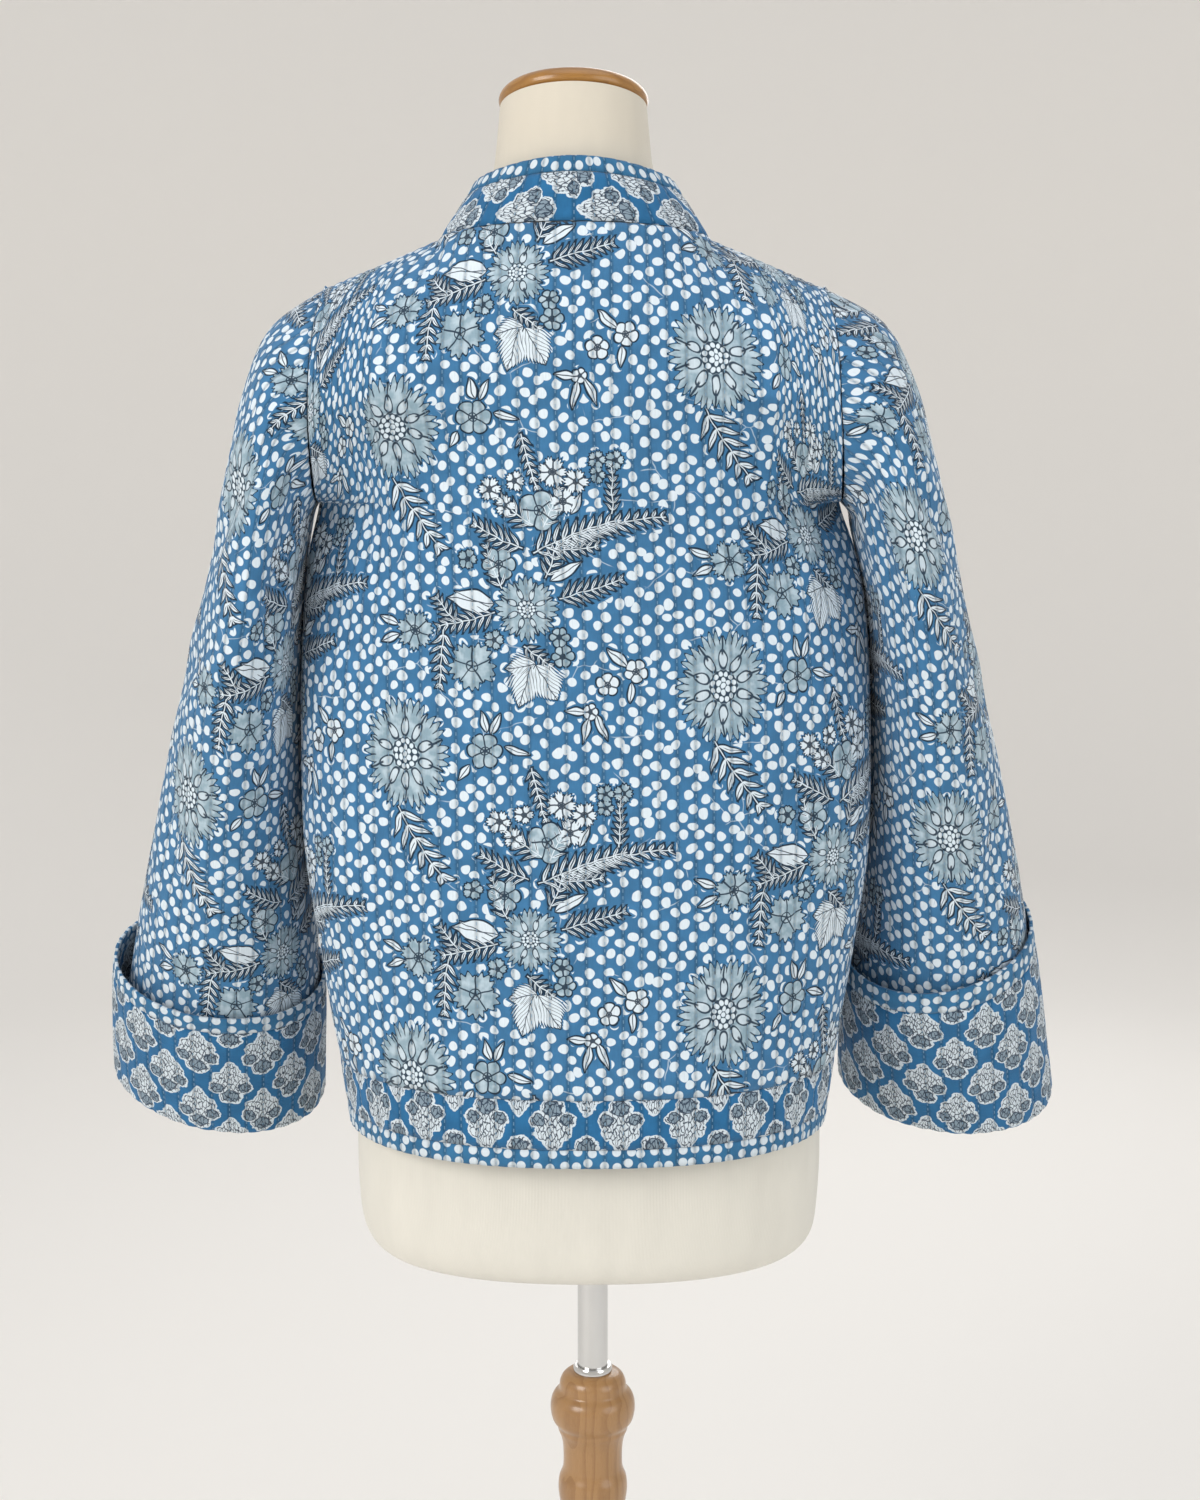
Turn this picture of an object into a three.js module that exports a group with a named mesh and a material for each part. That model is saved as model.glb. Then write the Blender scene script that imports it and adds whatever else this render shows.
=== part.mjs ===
// Quilted jacket of happi cut, worn by a limbless dress form on a turned wooden tripod stand.
// Millimetres, +Z up. The form faces +Y and its right side is +X.
// The origin is on the floor, on the axis of the pole.

import * as THREE from 'three';

// ---- driving dimensions -------------------------------------------------------------------

const wall = 2.5;               // quilted cloth, three layers
const seam = 0.3;               // room left between two pieces at a seam

const hemZ = 714;               // lower edge of the coat
const hemEdgeHeight = 14;       // dotted strip under the hem band
const hemBandHeight = 38;       // contrast band above it
const underarmZ = 1205;
const armholeMidZ = 1285;
const flattenFromZ = 1040;      // above this the rounded sections flatten towards the shoulders
const armholeHalfDepth = 88;
const squareness = 2.3;         // exponent of the body's rounded sections

const coatCentreX = -13;        // the shoulders sit a little to the left of the pole
const neckHalfWidth = 103;
const neckSideY = -6;
const neckSideZ = 1404;
const napeY = -84;
const napeZ = 1415.5;
const shoulderTip = { reach: 191, y: -5, z: 1367 };
const chestHalfWidth = 196.7;
const neckShare = neckHalfWidth / chestHalfWidth;   // part of the back's half width under the neckline

const bandSeamX = 62;           // where the front band is sewn to the front panel
const bandWidth = 48;           // contrast strip and dotted strip together
const collarLean = 0.66;        // how far the collar leans in at the side of the neck, for each mm up
const bandSplit = 0.76;         // share of that width in contrast cloth

// Places along the sleeve, 1 at the fold; the left cuff is the narrower.
const cuffTop = { left: 0.82, right: 0.785 };
const cuffEdgeTop = { left: 0.797, right: 0.762 };

const poleRadius = 12.5;
const poleBottomZ = 330;
const poleTopZ = 671;
const boreRadius = poleRadius + seam;
const postTopZ = 487;
const neckTilt = THREE.MathUtils.degToRad(16);
const legThickness = 22;
const legRoot = 30.3;           // inner face of a leg, from the pole axis

// Body of the coat: height, half width, back depth, front depth, centre line.
const bodyRows = [
  [714, 192, -150, 150, -4],
  [766, 199, -147, 149, -4],
  [845, 211, -140, 143, -4],
  [930, 223, -131, 137, -4.5],
  [1030, 224, -122, 132, -5],
  [1128, 219, -114, 128, -6],
  [1170, 212, -112, 127, -8],
  [1205, 202.3, -110, 125, -10],
  [1285, chestHalfWidth, -105, 113, coatCentreX],
];

// Sleeves: place along, outer line x z, inner line x z, centre y, half depth, forward tilt in degrees.
const sleeveRows = {
  left: [
    [0, -204, 1367, -212, 1205, -5, 88, 0],
    [0.07, -246, 1339, -216.5, 1196, -4, 92, 1],
    [0.14, -267, 1294, -219.5, 1183, -2, 98, 3],
    [0.21, -279, 1244, -223, 1163, 1, 105, 5],
    [0.31, -294, 1174, -226.5, 1126, 6, 110, 7],
    [0.44, -318, 1085, -230.5, 1052, 18, 108, 9],
    [0.58, -344, 985, -230, 958, 36, 99, 12],
    [0.7, -365, 898, -228, 874, 54, 90, 15],
    [0.79, -379, 837, -228, 812, 67, 82, 18],
    [1, -403, 727, -231, 696, 97, 74, 21],
  ],
  right: [
    [0, 178, 1367, 192, 1205, -5, 88, 0],
    [0.07, 220, 1343, 200, 1196, -4, 92, 1],
    [0.14, 243, 1308, 203, 1183, -2, 98, 3],
    [0.21, 258, 1266, 208, 1163, 1, 105, 5],
    [0.31, 276, 1200, 215, 1128, 6, 110, 7],
    [0.44, 298, 1107, 220.5, 1062, 18, 108, 9],
    [0.58, 323, 1007, 221.3, 968, 36, 99, 12],
    [0.7, 345, 915, 220, 886, 54, 91, 15],
    [0.79, 361, 835, 216, 819, 67, 84, 18],
    [1, 387.5, 703, 211, 714, 97, 74, 21],
  ],
};

// How far the cuff stands off the sleeve at its free edge, all round and on one flank.
const cuffFlare = { left: { even: 3, flank: 11, towards: 0.5 }, right: { even: 3, flank: 11, towards: 2.3 } };

// Dress form: height, half width, back, front, centre line, sharpness of the section, tilt share.
const formRows = [
  [603, 158, -98, 98, -2, 2.3, 0],
  [606, 170, -110, 110, -2, 2.3, 0],
  [617, 180, -119, 119, -2, 2.3, 0],
  [638, 185, -123, 123, -3, 2.3, 0],
  [690, 187, -125, 125, -3, 2.3, 0],
  [760, 182, -121, 123, -3, 2.3, 0],
  [850, 153, -107, 112, -4, 2.3, 0],
  [930, 130, -95, 100, -5, 2.2, 0],
  [1010, 136, -96, 104, -6, 2.2, 0],
  [1090, 150, -99, 113, -8, 2.2, 0],
  [1160, 160, -100, 116, -9, 2.2, 0],
  [1230, 170, -98, 104, -11, 2.1, 0],
  [1290, 180, -94, 88, -12, 2, 0],
  [1330, 183, -86, 72, -13, 1.75, 0],
  [1350, 176, -80, 62, -13, 1.6, 0],
  [1366, 155, -76, 56, -13, 1.5, 0],
  [1380, 124, -74, 52, -13, 1.5, 0],
  [1392, 98, -73, 50, -13, 1.7, 0],
  [1405, 80, -72, 49, -13, 1.9, 0],
  [1425, 68, -70, 49, -13, 2, 0.2],
  [1455, 60.5, -67, 50, -14, 2, 0.6],
  [1480, 57.5, -64, 49, -14, 2, 1],
  [1501, 55.5, -61, 49, -14, 2, 1],
];

// ---- small mathematics --------------------------------------------------------------------

const clamp01 = value => Math.min(1, Math.max(0, value));
const mix = (a, b, t) => a + (b - a) * t;
const ease = t => t * t * (3 - 2 * t);
const vector = (x, y, z) => new THREE.Vector3(x, y, z);

function hermite(from, leave, to, arrive, t) {
  const t2 = t * t, t3 = t2 * t;
  return from * (2 * t3 - 3 * t2 + 1) + leave * (t3 - 2 * t2 + t)
    + to * (3 * t2 - 2 * t3) + arrive * (t3 - t2);
}

// A smooth curve through rows whose first number is the place along it.
function through(rows) {
  const slopes = rows.map((row, i) => {
    const before = rows[Math.max(i - 1, 0)];
    const after = rows[Math.min(i + 1, rows.length - 1)];
    return row.map((_, c) => (after[c] - before[c]) / (after[0] - before[0]));
  });
  return place => {
    let i = 0;
    while (i < rows.length - 2 && place > rows[i + 1][0]) i++;
    const span = rows[i + 1][0] - rows[i][0];
    const t = (place - rows[i][0]) / span;
    return rows[i].slice(1).map((value, c) => hermite(value, slopes[i][c + 1] * span,
      rows[i + 1][c + 1], slopes[i + 1][c + 1] * span, t));
  };
}

const bodyAt = through(bodyRows);

// ---- coat body ----------------------------------------------------------------------------

// A point of the body below the middle of the armhole.
// share: 0 on the centre line, 1 at the side seam or armhole edge. face: -1 back, 1 front.
function skinPoint(side, face, share, z) {
  const [halfWidth, back, front, centreX] = bodyAt(z);
  const climb = clamp01((z - underarmZ) / (armholeMidZ - underarmZ));
  const flatten = ease(clamp01((z - flattenFromZ) / (armholeMidZ - flattenFromZ)));
  const edgeY = face * armholeHalfDepth * Math.sqrt(1 - (1 - climb) ** 2) + shoulderTip.y * climb;
  const beyond = 1 - Math.min(share, 1) ** squareness;
  const fall = mix(beyond ** (1 / squareness), beyond, flatten);
  const pull = share ** mix(7, squareness, climb);
  const y = (face < 0 ? back : front) * fall + edgeY * pull;
  return vector(centreX + side * halfWidth * share, y, z);
}

// A point of the body's panels by column q (0 at the centre or band seam, 1 at the side) and height z.
function sectionPoint(side, face, q, z) {
  const halfWidth = bodyAt(z)[0];
  const start = face < 0 ? 0 : bandSeamX / halfWidth;
  const flatten = ease(clamp01((z - flattenFromZ) / (armholeMidZ - flattenFromZ)));
  const spread = mix(Math.sin(q * Math.PI / 2), q, flatten);
  return skinPoint(side, face, mix(start, 1, spread), z);
}

const neckSide = side => vector(coatCentreX + side * neckHalfWidth, neckSideY, neckSideZ);

// Back neckline, angle 0 at the nape and a right angle at the side of the neck.
function necklinePoint(side, angle) {
  return vector(coatCentreX + side * neckHalfWidth * Math.sin(angle),
    neckSideY + (napeY - neckSideY) * Math.cos(angle), neckSideZ + (napeZ - neckSideZ) * Math.cos(angle));
}

function topPoint(side, face, q) {
  if (face < 0 && q < neckShare) return necklinePoint(side, q / neckShare * Math.PI / 2);
  const along = face < 0 ? (q - neckShare) / (1 - neckShare) : q;
  const tip = vector(coatCentreX + side * shoulderTip.reach, shoulderTip.y, shoulderTip.z);
  return neckSide(side).lerp(tip, along);
}

// The body above the middle of the armhole, rising and rolling over to the shoulder seam.
function yokePoint(side, face, q, w) {
  const from = sectionPoint(side, face, q, armholeMidZ);
  const to = topPoint(side, face, q);
  const rise = to.z - from.z, run = to.y - from.y;
  const upright = face < 0 ? 1 - ease(clamp01(q / neckShare)) : 0;
  return vector(hermite(from.x, 0, to.x, to.x - from.x, w),
    hermite(from.y, 0, to.y, run * mix(1.5, 1, upright), w),
    hermite(from.z, rise * 1.45, to.z, rise * 0.7 * upright, w));
}

// level: 0 hem band seam, 1 underarm, 2 middle of the armhole, 3 shoulder seam
function bodyPoint(side, face, q, level) {
  if (level > 2) return yokePoint(side, face, q, level - 2);
  const quarter = Math.cos((level - 1) * Math.PI / 2);
  const z = level > 1 ? mix(armholeMidZ, underarmZ, quarter)
    : mix(hemZ + hemEdgeHeight + hemBandHeight, underarmZ, level);
  return sectionPoint(side, face, q, z);
}

const armholePoint = (side, angle) =>
  bodyPoint(side, angle < 0 ? 1 : -1, 1, 3 - 2 * Math.abs(angle) / Math.PI);

// Right round the coat between the two band seams: -2 and 2 are the seams, -1 and 1 the side seams.
function roundBody(turn, z) {
  const side = Math.sign(turn) || 1, far = Math.abs(turn);
  return far <= 1 ? sectionPoint(side, -1, far, z) : sectionPoint(side, 1, 2 - far, z);
}

// ---- collar and front band ----------------------------------------------------------------

// along: 0 hem, 1 middle of the armhole, 2 side of the neck, 3 nape. across: 0 seam, 1 free edge.
function bandPoint(side, along, across) {
  const reach = across * bandWidth;
  if (along <= 1) {
    const z = mix(hemZ, armholeMidZ, along);
    return skinPoint(side, 1, (bandSeamX - reach) / bodyAt(z)[0], z);
  }
  if (along <= 2) {
    const turn = ease(along - 1) * Math.atan2(1, collarLean);
    const low = bodyAt(armholeMidZ)[0];
    const bulge = skinPoint(side, 1, (bandSeamX - reach) / low, armholeMidZ).y
      - skinPoint(side, 1, bandSeamX / low, armholeMidZ).y;
    const base = yokePoint(side, 1, 0, along - 1);
    return base.add(vector(-side * reach * Math.cos(turn), bulge * (1 - ease(along - 1)), reach * Math.sin(turn)));
  }
  const angle = (3 - along) * Math.PI / 2;
  const lean = vector(-side * collarLean * Math.sin(angle), 0.15 * Math.cos(angle), 1).normalize();
  return necklinePoint(side, angle).addScaledVector(lean, reach);
}

// The whole band from the left hem (-3) over the nape (0) to the right hem (3).
const wholeBand = (course, across) => bandPoint(Math.sign(course) || 1, 3 - Math.abs(course), across);

// ---- sleeves and cuffs --------------------------------------------------------------------

const sleeveAt = { left: through(sleeveRows.left), right: through(sleeveRows.right) };
const sideOf = { left: -1, right: 1 };

function sleeveRing(hand, place) {
  const [outX, outZ, inX, inZ, y, depth, tilt] = sleeveAt[hand](place);
  const across = vector(outX - inX, 0, outZ - inZ);
  const lean = THREE.MathUtils.degToRad(tilt);
  return {
    centre: vector((outX + inX) / 2, y, (outZ + inZ) / 2),
    halfWidth: across.length() / 2, depth,
    across: across.normalize(), forward: vector(0, Math.cos(lean), Math.sin(lean)),
  };
}

// angle: 0 on the outer line, positive round the back, pi on the inner line
function ringPoint(hand, place, angle, out) {
  const ring = sleeveRing(hand, place);
  return ring.centre.clone()
    .addScaledVector(ring.across, (ring.halfWidth + out) * Math.cos(angle))
    .addScaledVector(ring.forward, -(ring.depth + out) * Math.sin(angle));
}

function sleevePoint(hand, place, angle, out = 0) {
  const signed = angle > Math.PI ? angle - 2 * Math.PI : angle;
  const point = ringPoint(hand, place, angle, out);
  const hold = 1 - ease(clamp01(place / 0.14));
  if (hold > 0) {
    const correction = armholePoint(sideOf[hand], signed).sub(ringPoint(hand, 0, angle, 0));
    point.addScaledVector(correction, hold);
  }
  point.x += sideOf[hand] * seam;
  return point;
}

function cuffPoint(hand, place, angle, out) {
  const flare = cuffFlare[hand];
  const rise = clamp01((1 - place) / (1 - cuffTop[hand]));
  const flank = Math.max(0, Math.cos(angle - flare.towards)) ** 2;
  return sleevePoint(hand, place, angle, out + rise * (flare.even + flare.flank * flank));
}

// ---- building meshes ----------------------------------------------------------------------

const coat = new THREE.Group();
const stand = new THREE.Group();

function makeMesh(name, positions, triangles, material, group) {
  let volume = 0;
  const corner = i => vector(positions[3 * i], positions[3 * i + 1], positions[3 * i + 2]);
  for (const [a, b, c] of triangles) volume += corner(a).dot(corner(b).cross(corner(c)));
  const index = triangles.flatMap(([a, b, c]) => (volume > 0 ? [a, b, c] : [a, c, b]));
  const geometry = new THREE.BufferGeometry();
  geometry.setAttribute('position', new THREE.Float32BufferAttribute(positions, 3));
  geometry.setIndex(index);
  geometry.computeVertexNormals();
  const mesh = new THREE.Mesh(geometry, material);
  mesh.name = name;
  group.add(mesh);
}

// A wall of cloth between two grids of points, stitched shut along its open edges.
function makeCloth(name, outer, inner, closed, material) {
  const rows = outer.length, columns = outer[0].length;
  const positions = [...outer, ...inner].flat().flatMap(point => point.toArray());
  const at = (skin, row, column) => skin * rows * columns + row * columns + column % columns;
  const triangles = [];
  const quad = (a, b, c, d) => triangles.push([a, b, c], [a, c, d]);
  const across = closed ? columns : columns - 1;
  for (let r = 0; r < rows - 1; r++) {
    for (let c = 0; c < across; c++) {
      quad(at(0, r, c), at(0, r, c + 1), at(0, r + 1, c + 1), at(0, r + 1, c));
      quad(at(1, r, c), at(1, r + 1, c), at(1, r + 1, c + 1), at(1, r, c + 1));
    }
    if (!closed) {
      quad(at(0, r, 0), at(0, r + 1, 0), at(1, r + 1, 0), at(1, r, 0));
      quad(at(0, r + 1, across), at(0, r, across), at(1, r, across), at(1, r + 1, across));
    }
  }
  for (let c = 0; c < across; c++) {
    quad(at(0, 0, c + 1), at(0, 0, c), at(1, 0, c), at(1, 0, c + 1));
    quad(at(0, rows - 1, c), at(0, rows - 1, c + 1), at(1, rows - 1, c + 1), at(1, rows - 1, c));
  }
  makeMesh(name, positions, triangles, material, coat);
}

// The direction square to a surface given by two parameters, on the side away from the heart.
function outward(surface, u, v, heart) {
  const step = 1e-3;
  const du = surface(u + step, v).sub(surface(u - step, v));
  const dv = surface(u, v + step).sub(surface(u, v - step));
  const normal = du.cross(dv).normalize();
  return normal.dot(surface(u, v).sub(heart)) < 0 ? normal.negate() : normal;
}

// The middle of the torso at a point's height, for telling outside from inside.
const torsoHeart = point => vector(coatCentreX, 0, Math.min(point.z, 1250));

function panel(name, surface, us, vs, material) {
  const outer = vs.map(v => us.map(u => surface(u, v)));
  const inner = vs.map((v, r) => us.map((u, c) =>
    outer[r][c].clone().addScaledVector(outward(surface, u, v, torsoHeart(outer[r][c])), -wall)));
  makeCloth(name, outer, inner, false, material);
}

const steps = (from, to, count) => Array.from({ length: count + 1 }, (_, i) => mix(from, to, i / count));

// Pulls the first and last of a row of places in by a hair, which opens the seams.
function trimmed(places, first, last = first) {
  const result = [...places];
  result[0] += first;
  result[result.length - 1] -= last;
  return result;
}

// ---- materials ----------------------------------------------------------------------------

const finish = (color, roughness, metalness = 0) =>
  new THREE.MeshStandardMaterial({ color, roughness, metalness, side: THREE.DoubleSide });
const printedCotton = finish(0x6f9bc0, 0.9);
const contrastCotton = finish(0x3f78ab, 0.9);
const dottedCotton = finish(0x8fb2cf, 0.9);
const jersey = finish(0xe9e3d3, 0.85);
const honeyWood = finish(0xc98f4e, 0.35);
const mapleWood = finish(0xd3a468, 0.35);
const chrome = finish(0xc8cacc, 0.12, 1);

// ---- coat pieces --------------------------------------------------------------------------

const seamLevel = 0.0004;       // a hair in level steps, about 0.2 mm
const sideHair = 0.0003;        // a hair in column steps at the side seam
const bodyLevels = trimmed([...steps(0, 1, 7), ...steps(1, 2, 5).slice(1), ...steps(2, 3, 5).slice(1)],
  seamLevel, 0.0018);

function cutBack() {
  const half = [...steps(0, neckShare, 5), ...steps(neckShare, 1, 4).slice(1)];
  const columns = trimmed([...half.slice(1).reverse().map(q => -q), ...half], sideHair);
  const surface = (q, level) => bodyPoint(Math.sign(q) || 1, -1, Math.min(Math.abs(q), 1), level);
  panel('coat_back', surface, columns, bodyLevels, printedCotton);
}

function cutFront(hand) {
  const surface = (q, level) => bodyPoint(sideOf[hand], 1, Math.min(Math.max(q, 0), 1), level);
  panel(`coat_front_${hand}`, surface, trimmed(steps(0, 1, 8), 0.001, sideHair), bodyLevels, printedCotton);
}

function cutHem() {
  const places = trimmed(steps(-2, 2, 44), 0.001);
  const surface = (turn, z) => roundBody(Math.min(Math.max(turn, -2), 2), z);
  const seamZ = hemZ + hemEdgeHeight;
  panel('hem_band', surface, places, trimmed(steps(seamZ, seamZ + hemBandHeight, 2), seam / 2), contrastCotton);
  panel('hem_edge', surface, places, [hemZ, seamZ - seam / 2], dottedCotton);
}

function cutCollar() {
  const side = [...steps(0, 1, 8), ...steps(1, 2, 6).slice(1), ...steps(2, 3, 9).slice(1)];
  const courses = [...side.slice(1).reverse().map(p => -p), ...side];
  const contrast = trimmed(steps(0, bandSplit, 2), 0.012, 0.003);
  panel('collar_band', wholeBand, courses, contrast, contrastCotton);
  panel('collar_edge', wholeBand, courses, [bandSplit + 0.003, 1], dottedCotton);
}

function tube(name, hand, places, surface, material, flatStart) {
  const count = 20;
  const angles = Array.from({ length: count }, (_, i) => 2 * Math.PI * i / count);
  const grid = places.map(place => angles.map(angle => surface(place, angle)));
  const inner = places.map((place, r) => {
    const ring = sleeveRing(hand, place);
    return angles.map((angle, c) => {
      const normal = outward(surface, Math.max(place, 2e-3), angle, ring.centre);
      if (flatStart && r === 0) normal.setX(0).normalize();
      return grid[r][c].clone().addScaledVector(normal, -wall);
    });
  });
  makeCloth(name, grid, inner, true, material);
}

function cutSleeve(hand) {
  const places = [0, 0.05, 0.1, 0.15, 0.21, 0.31, 0.44, 0.58, 0.7, 0.79, 0.9, 1];
  tube(`sleeve_${hand}`, hand, places, (place, angle) => sleevePoint(hand, place, angle), printedCotton, true);
  const lift = seam + wall;     // the cuff's outer skin lies one wall outside the sleeve
  const surface = (place, angle) => cuffPoint(hand, place, angle, lift);
  tube(`cuff_${hand}`, hand, [cuffTop[hand], 0.85, 0.92, 1], surface, contrastCotton, false);
  tube(`cuff_edge_${hand}`, hand, [cuffEdgeTop[hand], cuffTop[hand] - 0.0006], surface, dottedCotton, false);
}

cutBack();
cutFront('left');
cutFront('right');
cutHem();
cutCollar();
cutSleeve('left');
cutSleeve('right');

// ---- dress form and stand -----------------------------------------------------------------

// Rings of points joined into one closed skin, with a fan over the first and the last ring.
function makeLoft(name, rings, material) {
  const count = rings[0].length;
  const middle = ring => ring.reduce((sum, p) => sum.add(p), vector(0, 0, 0)).divideScalar(count);
  const points = [...rings.flat(), middle(rings[0]), middle(rings[rings.length - 1])];
  const first = rings.length * count, last = first + 1;
  const triangles = [];
  for (let r = 0; r < rings.length - 1; r++) {
    for (let i = 0; i < count; i++) {
      const j = (i + 1) % count, a = r * count, b = a + count;
      triangles.push([a + i, a + j, b + j], [a + i, b + j, b + i]);
    }
  }
  for (let i = 0; i < count; i++) {
    const j = (i + 1) % count, end = (rings.length - 1) * count;
    triangles.push([first, j, i], [last, end + i, end + j]);
  }
  makeMesh(name, points.flatMap(p => p.toArray()), triangles, material, stand);
}

function roundedPower(value, power) {
  return Math.sign(value) * Math.abs(value) ** power;
}

function makeForm() {
  const count = 36;
  const angles = Array.from({ length: count }, (_, i) => 2 * Math.PI * i / count);
  const section = ([z, halfWidth, back, front, centreX, sharpness, tilt]) => {
    const middleY = (back + front) / 2, halfDepth = (front - back) / 2;
    return angles.map(angle => {
      const x = centreX + halfWidth * roundedPower(Math.cos(angle), 2 / sharpness);
      const y = middleY + halfDepth * roundedPower(Math.sin(angle), 2 / sharpness);
      return vector(x, y, z - (y - middleY) * Math.tan(neckTilt) * tilt);
    });
  };
  const bore = z => angles.map(angle => vector(boreRadius * Math.cos(angle), boreRadius * Math.sin(angle), z));
  const bottomZ = formRows[0][0];
  makeLoft('form_torso', [bore(poleTopZ + seam), bore(bottomZ), ...formRows.map(section)], jersey);
}

// Profiles are turned about the pole axis: radius and height, from the axis back to the axis.
function turned(name, profile, material, segments = 36) {
  const geometry = new THREE.LatheGeometry(profile.map(([r, z]) => new THREE.Vector2(r, z)), segments);
  geometry.rotateX(Math.PI / 2);
  const mesh = new THREE.Mesh(geometry, material);
  mesh.name = name;
  stand.add(mesh);
  return mesh;
}

function makeNeckCap() {
  const neck = formRows[formRows.length - 1];
  const radius = 56;
  const cap = turned('neck_cap', [[0, 0], [radius - 3, 0], [radius, 2.5], [radius + 0.5, 6],
    [radius - 1.5, 10], [radius - 7, 13.5], [radius - 22, 17.5], [radius - 40, 19.5], [0, 20]], honeyWood);
  cap.rotation.x = -neckTilt;
  cap.position.set(neck[4], (neck[2] + neck[3]) / 2, neck[0] + seam);
}

function makePole() {
  turned('pole', [[0, poleBottomZ + seam], [poleRadius, poleBottomZ + seam],
    [poleRadius, poleTopZ], [0, poleTopZ]], chrome);
  const ringLow = postTopZ + seam, ringHigh = ringLow + 5;
  turned('pole_ring', [[boreRadius, ringLow], [16, ringLow], [16, ringHigh - 1.5], [15, ringHigh],
    [boreRadius, ringHigh], [boreRadius, ringLow]], chrome);
}

function makePost() {
  turned('post', [[0, 118], [24, 118], [30, 124], [30, 212], [27, 220], [23, 226], [21, 240],
    [21.5, 262], [24, 290], [26, 315], [26, 332], [23.5, 344], [23, 352], [24.5, 362], [27.5, 374],
    [28.7, 384], [28, 393], [25.8, 399], [24.6, 404], [24.4, 414], [25, 424], [26.6, 431], [28.6, 436],
    [29.6, 440], [33.2, 445.5], [35, 454], [34.4, 462], [32, 467.5], [28.4, 471], [27.6, 474], [27, 478.5],
    [24.8, 483], [21, 486], [16, postTopZ], [boreRadius, postTopZ], [boreRadius, poleBottomZ],
    [0, poleBottomZ]], mapleWood);
}

function makeLegs() {
  const outline = new THREE.Shape();
  outline.moveTo(legRoot, 205);
  outline.bezierCurveTo(85, 200, 120, 165, 148, 118);
  outline.bezierCurveTo(172, 78, 195, 40, 232, 26);
  outline.quadraticCurveTo(246, 22, 246, 10);
  outline.lineTo(246, 0);
  outline.lineTo(206, 0);
  outline.bezierCurveTo(176, 20, 150, 60, 128, 92);
  outline.bezierCurveTo(104, 124, 76, 136, legRoot, 138);
  outline.closePath();
  for (const [index, turn] of [0, 120, 240].entries()) {
    const geometry = new THREE.ExtrudeGeometry(outline,
      { depth: legThickness, bevelEnabled: false, curveSegments: 8 });
    geometry.translate(0, 0, -legThickness / 2);
    geometry.rotateX(Math.PI / 2);
    const leg = new THREE.Mesh(geometry, mapleWood);
    leg.name = `leg_${index + 1}`;
    leg.rotation.z = THREE.MathUtils.degToRad(turn);
    stand.add(leg);
  }
}

makeForm();
makeNeckCap();
makePole();
makePost();
makeLegs();

const part = new THREE.Group();
part.add(coat, stand);

export default part;
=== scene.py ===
# Quilted block-printed jacket of happi cut on a limbless dress form with a turned tripod stand
import bisect
import math
import bmesh
import bpy
from mathutils import Matrix, Vector, noise


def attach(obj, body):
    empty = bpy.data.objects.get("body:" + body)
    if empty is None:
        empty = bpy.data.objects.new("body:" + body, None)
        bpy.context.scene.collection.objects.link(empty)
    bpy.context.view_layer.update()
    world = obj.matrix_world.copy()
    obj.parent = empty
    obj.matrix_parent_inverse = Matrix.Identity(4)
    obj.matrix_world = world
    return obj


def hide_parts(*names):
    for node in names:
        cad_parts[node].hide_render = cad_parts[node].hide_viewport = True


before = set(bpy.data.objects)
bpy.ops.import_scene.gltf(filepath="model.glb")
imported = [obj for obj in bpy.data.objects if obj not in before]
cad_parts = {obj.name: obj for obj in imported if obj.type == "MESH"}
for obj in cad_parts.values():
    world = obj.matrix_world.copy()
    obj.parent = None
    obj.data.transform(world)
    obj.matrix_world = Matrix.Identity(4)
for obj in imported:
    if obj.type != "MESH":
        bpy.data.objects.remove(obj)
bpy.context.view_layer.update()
scene = bpy.context.scene
mm = 0.001
fullTurn = 2 * math.pi

cameraSet = {"x": 6, "back": 1950, "height": 1352, "down": 10, "lens": 60}


def setCamera():
    data = bpy.data.cameras.new("camera")
    data.lens = cameraSet["lens"]
    data.sensor_width = 36
    camera = bpy.data.objects.new("camera", data)
    camera.location = Vector((cameraSet["x"], -cameraSet["back"], cameraSet["height"])) * mm
    camera.rotation_euler = (math.radians(90 - cameraSet["down"]), 0, 0)
    scene.collection.objects.link(camera)
    scene.camera = camera


lampSet = {
    "window": {"at": (-2.3, -2.2, 2.3), "size": 1.8, "power": 54, "colour": (1.0, 0.98, 0.95)},
    "fill": {"at": (2.4, -2.0, 1.7), "size": 2.2, "power": 21, "colour": (0.95, 0.98, 1.0)},
    "top": {"at": (0.2, -0.4, 3.2), "size": 2.2, "power": 12, "colour": (1, 1, 1)},
    "behind": {"at": (0.8, 2.6, 2.2), "size": 2.0, "power": 22, "colour": (1, 1, 1)},
}


def setLights():
    for name, lamp in lampSet.items():
        data = bpy.data.lights.new(name, "AREA")
        data.shape = "DISK"
        data.size = lamp["size"]
        data.energy = lamp["power"]
        data.color = lamp["colour"]
        light = bpy.data.objects.new(name, data)
        light.location = lamp["at"]
        aim = Vector((0, 0, 1.05)) - light.location
        light.rotation_euler = aim.to_track_quat("-Z", "Y").to_euler()
        scene.collection.objects.link(light)
    world = bpy.data.worlds.new("studio")
    world.use_nodes = True
    back = world.node_tree.nodes["Background"]
    back.inputs["Color"].default_value = (0.93, 0.95, 1.0, 1)
    back.inputs["Strength"].default_value = 0.55
    scene.world = world
    scene.view_settings.view_transform = "Standard"


setCamera()
setLights()
print("camera and light set")


def clamp(value):
    return min(1.0, max(0.0, value))


def mix(a, b, t):
    return a + (b - a) * t


def ease(t):
    return t * t * (3 - 2 * t)


def hermite(start, leave, end, arrive, t):
    t2 = t * t
    t3 = t2 * t
    return (start * (2 * t3 - 3 * t2 + 1) + leave * (t3 - 2 * t2 + t)
            + end * (3 * t2 - 2 * t3) + arrive * (t3 - t2))


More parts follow.
